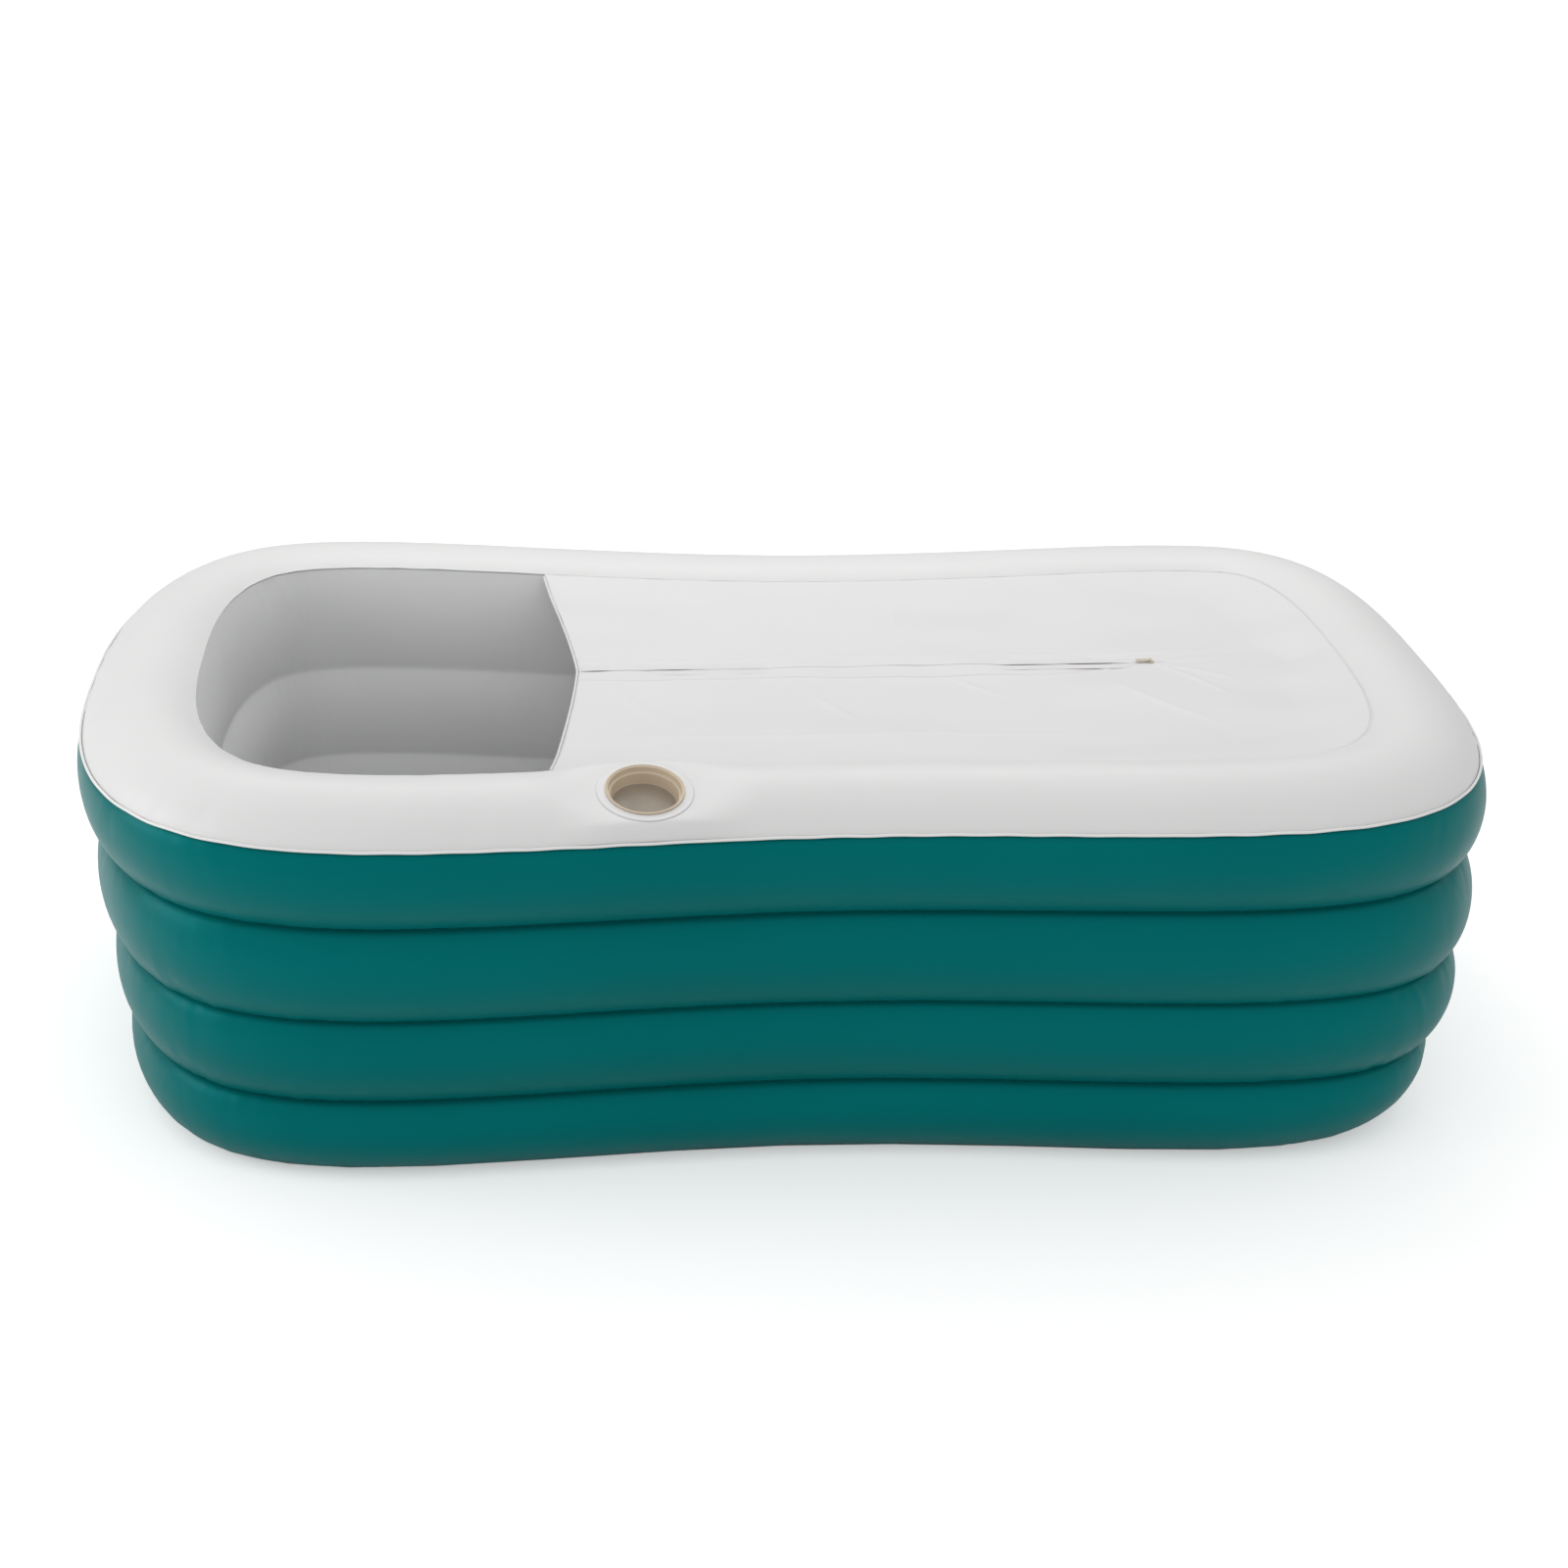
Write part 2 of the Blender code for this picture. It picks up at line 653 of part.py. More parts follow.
def drain(frame, inner_film):
    """A flanged pipe through the lowest ring, its collar inside the bath and its plug outside."""
    tip = FAR_SIDE[0]
    bath_face = place(tip, (-INNER_GROUND_SETBACK - INNER_BULGES[-1], 0.0)).x
    depth = frame.translation.x - bath_face
    inner_end = -(depth + DRAIN_COLLAR_THICKNESS + DRAIN_REACH)
    face = WELD_GAP + DRAIN_FLANGE_THICKNESS
    pipe = [
        (DRAIN_FLANGE_RADIUS, face),
        (DRAIN_FLANGE_RADIUS, WELD_GAP),
        (DRAIN_RADIUS, WELD_GAP),
        (DRAIN_RADIUS, inner_end),
        (DRAIN_BORE_RADIUS, inner_end),
        (DRAIN_BORE_RADIUS, face),
    ]
    turned("drain_pipe", pipe, DRAIN_SIDES, CLEAR, frame)
    collar_low = -(depth + WELD_GAP + DRAIN_COLLAR_THICKNESS)
    collar = [
        (DRAIN_FLANGE_RADIUS, -depth - WELD_GAP),
        (DRAIN_FLANGE_RADIUS, collar_low),
        (DRAIN_RADIUS + WELD_GAP, collar_low),
        (DRAIN_RADIUS + WELD_GAP, -depth - WELD_GAP),
    ]
    turned("drain_collar", collar, DRAIN_SIDES, CLEAR, frame)
    head = face + WELD_GAP
    top = head + PLUG_HEAD_THICKNESS
    stem = DRAIN_BORE_RADIUS - PLUG_CLEARANCE
    plug = [
        (0.0, top),
        (PLUG_HEAD_RADIUS, top),
        (PLUG_HEAD_RADIUS, head),
        (stem, head),
        (stem - PLUG_CLEARANCE, head - PLUG_STEM_LENGTH),
        (0.0, head - PLUG_STEM_LENGTH),
    ]
    plug_object = turned("drain_plug", plug, DRAIN_SIDES, CLEAR, frame)
    grip_low = (-PLUG_GRIP_HALF_LENGTH, -PLUG_GRIP_HALF_WIDTH, top - PLUG_HEAD_THICKNESS / 2)
    grip_high = (PLUG_GRIP_HALF_LENGTH, PLUG_GRIP_HALF_WIDTH, top + PLUG_GRIP_HEIGHT)
    join(plug_object, box("plug_grip", grip_low, grip_high, CLEAR, frame))
    radius = DRAIN_RADIUS + WELD_GAP
    inner_frame = frame @ Matrix.Translation((0.0, 0.0, -depth))
    cut(inner_film, hole_cutter("drain_inner_hole", radius, CUT_OVERRUN * 2, DRAIN_SIDES, inner_frame))


# Base and floor


def base_sheet():
    bm = bmesh.new()
    ring = []
    for station in LOOP:
        spot = place(station, (BASE_LIP - GROUND_SETBACK, 0.0))
        ring.append(bm.verts.new((spot.x, spot.y, FILM)))
    bm.faces.new(ring)
    thing = mesh_object("base_sheet", bm, GREY)
    solidify(thing, FILM)


def floor_heights():
    """(share of the way from the wall to the spine, height) over the floor's two air cells."""
    cell = FLOOR_WELD_SHARE
    edge = (0.0, FILM * 2 + WELD_GAP)
    groove = (cell, FLOOR_WELD_HEIGHT)
    points = [edge]
    for step in range(1, FLOOR_STEPS + 1):
        turn = step / (FLOOR_STEPS + 1) * math.pi
        share = cell * (1 - math.cos(turn)) / 2
        rise = edge[1] + (groove[1] - edge[1]) * share / cell
        points.append((share, rise + FLOOR_CROWN * math.sin(turn)))
    points.append(groove)
    for step in range(1, FLOOR_STEPS + 1):
        turn = step / FLOOR_STEPS * math.pi / 2
        share = cell + (1 - cell) * (1 - math.cos(turn))
        points.append((share, groove[1] + FLOOR_CROWN * math.sin(turn)))
    return points


def floor_sheet():
    """The air floor's top film: an outer cell round an inner one that runs along a spine."""
    rows = []
    for station in LOOP:
        edge = place(station, (-FLOOR_SETBACK, 0.0))
        spine = Vector((edge.x * FLOOR_SPINE_SHARE, 0.0, 0.0))
        row = []
        for share, height in floor_heights():
            spot = edge.lerp(spine, share)
            row.append(Vector((spot.x, spot.y, height)))
        rows.append(row[::-1])
    bm = loft(rows, closed=True)
    bmesh.ops.remove_doubles(bm, verts=bm.verts, dist=MERGE)
    thing = mesh_object("floor_sheet", bm, WHITE)
    solidify(thing, FILM)
    return thing


# Cover and zip


COVER_SLOPE = (COVER_LINE_FOOT_HEIGHT - COVER_LINE_HEAD_HEIGHT) / (SLIT_END_X - OPENING_MIDDLE_X)


def zip_line_height(x):
    return COVER_LINE_HEAD_HEIGHT + COVER_SLOPE * (x - OPENING_MIDDLE_X)


def zip_frame(x):
    """Local X runs up the zip towards the foot, and local Z out of the cover's top face."""
    pitch = math.atan(COVER_SLOPE)
    return Matrix.Translation((x, 0.0, zip_line_height(x))) @ Matrix.Rotation(-pitch, 4, "Y")


def cover_border():
    """Weld points of the far half, from the opening's corner round to the foot's tip."""
    inset = (WELD[0] - WELD_GAP - FILM, WELD[1])
    spots = [place(station, inset) for station in FAR_SIDE][::-1]
    border = []
    for first, second in zip(spots, spots[1:]):
        if first.x < OPENING_CORNER_X <= second.x:
            share = (OPENING_CORNER_X - first.x) / (second.x - first.x)
            border.append(first.lerp(second, share))
        if border:
            border.append(second)
    return border


def with_targets(border):
    """Pair each weld point with the place on the zip line that its column runs to."""
    runs = [0.0]
    for first, second in zip(border, border[1:]):
        runs.append(runs[-1] + (second - first).length)
    reach = COVER_FOOT_STRAIGHT - OPENING_MIDDLE_X
    return [(edge, OPENING_MIDDLE_X + reach * run / runs[-1]) for edge, run in zip(border, runs)]


def cover_columns():
    """(weld point, target x, half width of the slit there), with columns at the slit's end."""
    columns = with_targets(cover_border())
    for wanted in (SLIT_END_X, SLIT_END_X + ZIP_STOP_LENGTH):
        for index, (first, second) in enumerate(zip(columns, columns[1:])):
            if first[1] < wanted < second[1]:
                share = (wanted - first[1]) / (second[1] - first[1])
                columns.insert(index + 1, (first[0].lerp(second[0], share), wanted))
                break
    return [(edge, target, SLIT_HALF_WIDTH if target <= SLIT_END_X else 0.0) for edge, target in columns]


def cover_column(edge, target, inner_y):
    """Points of one column, from the weld down to the crease and in along the flat middle."""
    band = min(COVER_BAND_SHARE_LIMIT, COVER_BORDER_BAND / math.hypot(edge.x - target, edge.y))
    flat = max(COVER_FLAT_SHARE_LEAST, 1 - (ZIP_FLAT_HALF_WIDTH - inner_y) / max(edge.y - inner_y, MERGE))
    points = [edge.copy()]
    for share in (band, (band + flat) / 2, flat, 1.0):
        x = target + (edge.x - target) * (1 - share) ** OPENING_CURVE_POWER
        y = edge.y + (inner_y - edge.y) * share
        points.append(Vector((x, y, zip_line_height(x))))
    return points


def cover():
    """One sheet with a slit, mirrored about the zip line and joined beyond the slit's end."""
    bm = bmesh.new()
    for side in (1, -1):
        columns = []
        for edge, target, inner_y in cover_columns():
            column = cover_column(edge, target, inner_y)
            columns.append([bm.verts.new((point.x, point.y * side, point.z)) for point in column])
        for first, second in zip(columns, columns[1:]):
            for row in range(len(first) - 1):
                corners = [first[row], first[row + 1], second[row + 1], second[row]]
                if side < 0:
                    corners.reverse()
                bm.faces.new(corners)
    bmesh.ops.remove_doubles(bm, verts=bm.verts, dist=MERGE)
    thing = mesh_object("cover", bm, WHITE)
    solidify(thing, COVER_FILM)


def hem(name, side):
    """The bead along one half of the cover's free edge."""
    edge, target, inner_y = cover_columns()[0]
    points = cover_column(edge, target, inner_y)
    start = points[0].lerp(points[1], HEM_END_GAP / (points[1] - points[0]).length)
    forward = HEM_RADIUS + WELD_GAP
    line = [Vector((p.x - forward, p.y * side, p.z - COVER_FILM / 2)) for p in [start] + points[1:]]
    curve = bpy.data.curves.new(name, "CURVE")
    curve.dimensions = "3D"
    spline = curve.splines.new("POLY")
    spline.points.add(len(line) - 1)
    for point, spot in zip(spline.points, line):
        point.co = (*spot, 1.0)
    curve.bevel_depth = HEM_RADIUS
    curve.bevel_resolution = HEM_RESOLUTION
    curve.use_fill_caps = True
    curve.materials.append(plastic(name, WHITE, 0.45))
    TUB.objects.link(bpy.data.objects.new(name, curve))


TAPE_TOP = -COVER_FILM - WELD_GAP
TAPE_BOTTOM = TAPE_TOP - TAPE_THICKNESS
COIL_TOP = TAPE_BOTTOM - WELD_GAP
COIL_BOTTOM = COIL_TOP - COIL_HEIGHT


def zip_side(suffix, side):
    """One half's tape and coil, in a frame at the head end of the zip."""
    frame = zip_frame(OPENING_MIDDLE_X)
    length = (SLIT_END_X - OPENING_MIDDLE_X) / math.cos(math.atan(COVER_SLOPE))
    tape_ys = sorted((TAPE_INNER_Y * side, TAPE_OUTER_Y * side))
    coil_ys = sorted((COIL_INNER_Y * side, (COIL_INNER_Y + COIL_WIDTH) * side))
    tape_end = length + TAPE_END_MARGIN
    coil_end = length - TAPE_END_MARGIN - ZIP_STOP_LENGTH
    low = (TAPE_END_MARGIN, tape_ys[0], TAPE_BOTTOM)
    box("zip_tape_" + suffix, low, (tape_end, tape_ys[1], TAPE_TOP), WHITE, frame)
    low = (TAPE_END_MARGIN, coil_ys[0], COIL_BOTTOM)
    box("zip_coil_" + suffix, low, (coil_end, coil_ys[1], COIL_TOP), DARK, frame)
    return coil_end


def zip_end_stop(coil_end):
    frame = zip_frame(OPENING_MIDDLE_X)
    start = coil_end + WELD_GAP
    low = (start, -ZIP_STOP_HALF_WIDTH, COIL_BOTTOM)
    box("zip_end_stop", low, (start + ZIP_STOP_LENGTH, ZIP_STOP_HALF_WIDTH, COIL_TOP), DARK, frame)


CROWN_LOW = SLIDER_CLEARANCE
CROWN_TOP = CROWN_LOW + CROWN_THICKNESS
PIN_HEIGHT = CROWN_TOP + WELD_GAP + PULL_THICKNESS / 2


def crosswise(frame, x, z):
    """A frame whose local Z runs along the zip's cross direction."""
    return frame @ Matrix.Translation((x, 0.0, z)) @ Matrix.Rotation(math.pi / 2, 4, "X")


def zip_slider(frame):
    """A channel under the tapes, a neck up through the slit, and a crown that carries the pull."""
    plate_top = COIL_BOTTOM - SLIDER_CLEARANCE
    plate_low = plate_top - SLIDER_WALL
    half = SLIDER_LENGTH / 2
    side_top = TAPE_BOTTOM - SLIDER_CLEARANCE
    root = (plate_low + plate_top) / 2
    plate_corner = (-half, -SLIDER_HALF_WIDTH, plate_low)
    slider = box("zip_slider", plate_corner, (half, SLIDER_HALF_WIDTH, plate_top), BEIGE, frame)
    for side in (1, -1):
        ys = sorted((SLIDER_HALF_WIDTH * side, (SLIDER_HALF_WIDTH - SLIDER_WALL) * side))
        join(slider, box("slider_side", (-half, ys[0], root), (half, ys[1], side_top), BEIGE, frame))
    neck = SLIDER_NECK_LENGTH / 2
    crown_middle = (CROWN_LOW + CROWN_TOP) / 2
    neck_low = (-neck, -SLIDER_NECK_HALF_WIDTH, root)
    join(slider, box("slider_neck", neck_low, (neck, SLIDER_NECK_HALF_WIDTH, crown_middle), BEIGE, frame))
    crown = CROWN_LENGTH / 2
    crown_low = (-crown, -CROWN_HALF_WIDTH, CROWN_LOW)
    join(slider, box("slider_crown", crown_low, (crown, CROWN_HALF_WIDTH, CROWN_TOP), BEIGE, frame))
    lug = LUG_LENGTH / 2
    lug_top = CROWN_TOP + LUG_HEIGHT
    for side in (1, -1):
        ys = sorted((CROWN_HALF_WIDTH * side, (CROWN_HALF_WIDTH - LUG_THICKNESS) * side))
        join(slider, box("slider_lug", (-lug, ys[0], crown_middle), (lug, ys[1], lug_top), BEIGE, frame))
    pin_half = CROWN_HALF_WIDTH - LUG_THICKNESS / 2
    pin_frame = crosswise(frame, 0.0, PIN_HEIGHT)
    join(slider, cylinder("slider_pin", PIN_RADIUS, -pin_half, pin_half, PIN_SIDES, BEIGE, pin_frame))


def zip_pull(frame):
    """A tab with an eye round the slider's pin, lying towards the head."""
    eye_frame = crosswise(frame, 0.0, PIN_HEIGHT)
    eye = PULL_THICKNESS / 2
    pull = cylinder("zip_pull", eye, -PULL_HALF_WIDTH, PULL_HALF_WIDTH, VALVE_SIDES, BEIGE, eye_frame)
    thin = PULL_TAB_THICKNESS / 2
    shank_end = -eye - PULL_HALF_WIDTH
    low = (shank_end - PULL_HALF_WIDTH, -PULL_HALF_WIDTH, PIN_HEIGHT - thin)
    high = (-(eye + PULL_EYE_RADIUS) / 2, PULL_HALF_WIDTH, PIN_HEIGHT + thin)
    join(pull, box("pull_shank", low, high, BEIGE, frame))
    low = (-PULL_LENGTH, -PULL_TAB_HALF_WIDTH, PIN_HEIGHT - thin)
    join(pull, box("pull_tab", low, (shank_end, PULL_TAB_HALF_WIDTH, PIN_HEIGHT + thin), BEIGE, frame))
    cut(pull, hole_cutter("pull_hole", PULL_EYE_RADIUS, PULL_HALF_WIDTH * 2, VALVE_SIDES, eye_frame))


# Assembly


def build_wall():
    cup = cup_frame()
    top_skin(cup)
    cup_holder(cup)
    films = []
    for ring in range(len(OUTER_BULGES)):
        films.append(wall_film(f"outer_wall_{ring + 1}", outer_profile(ring), TEAL))
    for ring in WALL_VALVE_RINGS:
        frame = wall_valve_frame(ring)
        name = f"ring_{ring + 1}_valve"
        valve(name, frame, valve_sink(ring))
        valve_hole(films[ring], name + "_hole", frame)
    inner = wall_film("inner_wall", inner_profile(), GREY)
    frame = drain_frame()
    drain(frame, inner)
    radius = DRAIN_RADIUS + WELD_GAP
    cut(films[-1], hole_cutter("drain_outer_hole", radius, CUT_OVERRUN, DRAIN_SIDES, frame))
    for number, (outer, inner_end) in enumerate(zip(OUTER_GROOVES[1:], INNER_GROOVES), start=1):
        clear = (inner_end[0] + FILM + WELD_GAP * 2, inner_end[1])
        wall_film(f"web_{number}", [clear, outer], WHITE, offset=0.0)
    seam_out = SEAM_BEAD_RADIUS * SEAM_BEAD_STANDOFF + WELD_GAP
    bead("seam_piping", (seam_out, SEAM[1]), SEAM_BEAD_RADIUS, BEAD_SIDES, WHITE)
    rim_centre = (WELD[0] - FILM - WELD_GAP, WELD[1] + WELD_GAP + RIM_BEAD_RADIUS)
    bead("rim_piping", rim_centre, RIM_BEAD_RADIUS, BEAD_SIDES, WHITE)


def build_floor():
    base_sheet()
    film = floor_sheet()
    height = floor_heights()[-1][1]
    upward = Vector((1.0, 0.0, 0.0))
    frame = frame_matrix(Vector((FLOOR_VALVE_X, 0.0, height)), Vector((0.0, 0.0, 1.0)), upward)
    valve("floor_valve", frame, FLOOR_VALVE_SINK)
    valve_hole(film, "floor_valve_hole", frame)


def build_cover():
    cover()
    hem("hem_far", 1)
    hem("hem_near", -1)
    coil_end = zip_side("far", 1)
    zip_side("near", -1)
    zip_end_stop(coil_end)
    frame = zip_frame(SLIDER_REST_X)
    zip_slider(frame)
    zip_pull(frame)


build_wall()
build_floor()
build_cover()
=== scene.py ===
"""The looks of an inflatable bathtub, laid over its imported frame.

Metres, +Z up. The head end is at -X, the foot end at +X, and the cup holder is on the near side, -Y.
Every film follows the frame's plan and profiles at a finer pitch, with its welds and puckers.
"""
import math

import bmesh
import bpy
import numpy as np
from mathutils import Matrix, Vector

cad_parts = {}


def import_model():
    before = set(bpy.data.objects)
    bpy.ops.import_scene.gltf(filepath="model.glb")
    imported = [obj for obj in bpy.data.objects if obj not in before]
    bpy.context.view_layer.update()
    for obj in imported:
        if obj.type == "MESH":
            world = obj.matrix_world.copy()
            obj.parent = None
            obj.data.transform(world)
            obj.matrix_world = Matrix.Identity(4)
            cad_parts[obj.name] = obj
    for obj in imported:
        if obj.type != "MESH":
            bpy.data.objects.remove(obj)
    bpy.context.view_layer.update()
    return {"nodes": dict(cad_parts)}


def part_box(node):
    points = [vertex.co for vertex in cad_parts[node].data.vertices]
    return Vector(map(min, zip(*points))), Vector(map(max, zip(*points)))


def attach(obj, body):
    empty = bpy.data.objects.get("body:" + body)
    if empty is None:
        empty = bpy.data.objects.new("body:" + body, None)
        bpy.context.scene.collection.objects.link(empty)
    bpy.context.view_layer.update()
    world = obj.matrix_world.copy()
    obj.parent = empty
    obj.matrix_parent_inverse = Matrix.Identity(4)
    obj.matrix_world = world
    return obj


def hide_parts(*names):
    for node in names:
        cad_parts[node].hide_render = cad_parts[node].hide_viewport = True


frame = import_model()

NODES = frame["nodes"]

# The plan and profiles, as the frame has them
FILM = 0.0004
LENGTH = 1.600
WAIST_WIDTH = 0.842
HEAD_FLARE_WIDTH = 1.330
FOOT_FLARE_WIDTH = 1.192
HEAD_CORNER_POWER = 2.61
FOOT_CORNER_POWER = 2.99
SEAM_HEIGHT = 0.4237
HEAD_RISE = 0.0036
FOOT_RISE = 0.0283
GROOVE_HEIGHTS = (0.3215, 0.2043, 0.0980)
GROOVE_SETBACKS = (0.022, 0.034, 0.049)
GROUND_SETBACK = 0.075
OUTER_BULGES = (0.0165, 0.0190, 0.0175, 0.0250)
RIM_WIDTH = 0.124
RIM_RISE = 0.031
RIM_ARCH = 0.028
INNER_GROOVE_SETBACKS = (0.136, 0.146, 0.157)
INNER_GROUND_SETBACK = 0.168
INNER_BULGES = (0.010, 0.012, 0.012, 0.012)
GROUND_GAP = 0.0007
FLOOR_SETBACK = 0.1687
FLOOR_EDGE_HEIGHT = 0.0011
FLOOR_WELD_HEIGHT = 0.014
FLOOR_CROWN = 0.032
FLOOR_WELD_SHARE = 0.50
FLOOR_SPINE_SHARE = 0.45

# The lower rings' outer film stands farther out at the foot's corners than the frame's
FOOT_REACH = 0.0745
FOOT_REACH_START = 0.300
FOOT_REACH_ASIDE = (0.260, 0.070)
FOOT_REACH_POWER = 4

# How finely the films are drawn
PLAN_SAMPLES = 20000
STATIONS = 640
CORNER_CROWDING = 0.10
PROFILE_STEPS = 30
RING_STEPS = 37
RING_END_CROWDING = 0.75
ARC_STEPS = 120
WEB_STEPS = 8
BEAD_SIDES = 12
LATHE_SIDES = 96
ROUND_STEPS = 4
COVER_COLUMNS = 380
COVER_ACROSS = 72
COVER_FINE = 64
COVER_FINE_FROM = 0.86
COIL_TURN_STEPS = 8

# Welds: how deep and how far the films tuck in at a groove
TUCK_DEPTH = 0.0068
TUCK_REACH = 0.0032
SEAM_TUCK_DEPTH = 0.0060
# How far from the rim's outer seam its film is painted darker, and how much: painted shade at the seam
RIM_PAINTED_SHADE_REACH = 0.004
RIM_PAINTED_SHADE_SHARE = 0.4
WEB_INNER_GAP = 0.002
WEB_TUCK_SHARE = 0.45

# Beads: radius, and how far the middle lies outside the seam or below the inner weld
SEAM_BEAD_RADIUS = 0.0016
SEAM_BEAD_REACH = 0.0021
INNER_BEAD_RADIUS = 0.0008
INNER_BEAD_DROP = 0.0002
BEAD_WOBBLE = 0.00012

# Puckers that run off a weld, stronger where the plan turns, and the slow swelling between welds
PUCKER_SPACING = 0.034
PUCKER_WIDTH = (0.0035, 0.0100)
PUCKER_REACH = (0.006, 0.020)
PUCKER_SLANT = 0.5
PUCKER_HEIGHT = 0.00055
PUCKER_STRAIGHT_SHARE = 0.5
PUCKER_TURN_SHARE_MOST = 1.5
PUCKER_TURN = 4
SWELL_HEIGHT = 0.0008
SWELL_WAVES = 14
RIM_SEAM_PUCKER_SPACING = 0.024
RIM_INNER_PUCKER_HEIGHT = 0.00035
RIM_SWELL_HEIGHT = 0.0007
FLOOR_PUCKER_HEIGHT = 0.0007
FLOOR_PUCKER_SPACING = 0.05
FLOOR_SPINE_CALM = 0.05

# Cover, and the size that it is cut to
OPENING_CORNER_X = -0.275
OPENING_MIDDLE_X = -0.238
OPENING_CURVE_POWER = 1.3
COVER_LINE_HEAD_HEIGHT = 0.4435
COVER_LINE_FOOT_HEIGHT = 0.4625
COVER_FOOT_STRAIGHT = 0.560
COVER_BORDER_BAND = 0.080
COVER_BORDER_SHARE_MOST = 0.40
COVER_BORDER_POWER = 1.5
COVER_BORDER_CALM = 0.10
HEM_RADIUS = 0.0014
HEM_GAP = 0.0003
HEM_START_SHARE = 0.02

# The slit for the zip, and its two lips: gape places as middle, reach and how much wider
SLIT_END_X = 0.470
SLIT_CLOSING = 0.004
SLIDER_REST_X = 0.452
SLIDER_CALM_REACH = 0.012
SLIDER_CALM = 0.85
LIP_HALF_WIDTH = 0.0004
LIP_OPENINGS = (
    (-0.216, 0.014, 0.0017),
    (-0.150, 0.050, 0.0006),
    (0.160, 0.024, 0.0003),
    (0.300, 0.026, 0.0014),
    (0.366, 0.014, 0.0007),
    (0.414, 0.010, 0.0004),
)
LIP_DIP_HEIGHT = 0.0006
LIP_DIP_REACH = 0.03
LIP_DIP_END = (0.400, 0.440)

# The placket, the strip of film welded on over the zip: its edge wanders by size, wave and phase
PLACKET_HALF_WIDTH = 0.034
PLACKET_TIP_HALF_WIDTH = 0.004
PLACKET_NARROWS = (0.300, 0.462)
PLACKET_WANDER = ((0.0025, 23.0, 1.0), (0.0012, 51.0, 2.0))
PLACKET_END = (0.440, 0.470)
PLACKET_RISE = 0.0005
PLACKET_EDGE = 0.001
PLACKET_WELD_RISE = 0.0009
PLACKET_WELD_WIDTH = 0.0015

# Pulls in the cover: start, end, width and height of each, then the long one beside the near rim
FOLDS = (
    ((0.455, 0.000), (0.545, -0.060), 0.0045, 0.0011),
    ((0.455, 0.000), (0.530, -0.110), 0.0050, 0.0010),
    ((0.455, 0.002), (0.600, 0.020), 0.0050, 0.0009),
    ((0.455, 0.004), (0.560, 0.070), 0.0045, 0.0009),
    ((0.380, 0.030), (0.600, 0.042), 0.0040, 0.0008),
    ((0.205, -0.040), (0.262, -0.110), 0.0050, 0.0010),
    ((0.030, -0.080), (0.080, -0.180), 0.0060, 0.0008),
    ((-0.120, 0.090), (-0.060, 0.210), 0.0070, 0.0007),
    ((0.150, 0.080), (0.170, 0.230), 0.0070, 0.0006),
    ((0.340, 0.080), (0.450, 0.230), 0.0060, 0.0007),
    ((0.380, -0.060), (0.500, -0.200), 0.0060, 0.0008),
    ((-0.200, -0.050), (-0.140, -0.180), 0.0070, 0.0006),
)
FOLD_TAPER_POWER = 0.6
LONG_FOLD_MIDDLE = (0.07, -0.212)
LONG_FOLD_SLOPE = 0.02
LONG_FOLD_REACH = (0.20, 0.34)
LONG_FOLD_WIDTH = 0.003
LONG_FOLD_HEIGHT = 0.0007
RIPPLES = 26
RIPPLE_WAVES_ALONG = (4, 26)
RIPPLE_WAVES_ACROSS = (8, 60)
RIPPLE_HEIGHT = 0.0016

# The zip's coils
ZIP_START = 0.004
COIL_PITCH = 0.0018
COIL_WIRE = 0.00028
COIL_RADIUS = 0.00105
COIL_MIDDLE = (0.0025, -0.0026)
TAPE_PITCH = 0.0006

# Cup holder, valves and drain
CUP_LIP_RADIUS = 0.0424
CUP_BODY_RADIUS = 0.0390
FLANGE_RADIUS = 0.0520
CUP_FLAT_RADIUS = 0.0540
CUP_FLAT_REACH = 0.1250
CUP_WELD_CLEARANCE = 0.016
CUP_SEAT_RISE = 0.0003
CUP_LIP_UNDERSIDE = 0.0014
CUP_LIP_TOP = 0.0036
CUP_COLLAR_FOOT = -0.0026
CUP_FLOOR_HEIGHT = -0.0172
CUP_FLOOR_BAND = (-0.0180, -0.0158)
CUP_FLOOR_RADIUS = 0.0345
CUP_UNDERSIDE = -0.0190
CUP_ROUNDING = 0.0009
FLANGE_THICKNESS = 0.0008
FITTING_GAP = 0.0003
DRAIN_RADIUS = 0.0150
DRAIN_FACE = 0.0023
VALVE_NECK_HEIGHT = 0.0095
VALVE_NECK_RADIUS = 0.0190
VALVE_FLAT_RADIUS = 0.0310
VALVE_FLAT_REACH = 0.0520

# Colours, as linear red, green and blue
TEAL = (0.0008, 0.148, 0.148)
TEAL_SHEEN = (0.03, 0.95, 1.0)
WHITE = (0.800, 0.797, 0.795)
COVER_WHITE = (0.798, 0.787, 0.791)
PIPING_WHITE = (0.86, 0.855, 0.845)
INNER_WHITE = (0.760, 0.762, 0.765)
FLOOR_WHITE = (0.740, 0.745, 0.755)
BEIGE = (0.62, 0.55, 0.44)
CUP_WALL = (0.66, 0.55, 0.41)
# The cup's floor: its beige at about half the brightness, painted shade of the dish's recess
CUP_FLOOR_SHADED = (0.305, 0.258, 0.203)
MILKY = (0.74, 0.76, 0.76)
RUBBER_GREY = (0.30, 0.31, 0.32)
COIL_BROWN = (0.075, 0.050, 0.045)

# The part of a noise's range over which a colour or a gloss drifts
DRIFT = (0.3, 0.7)

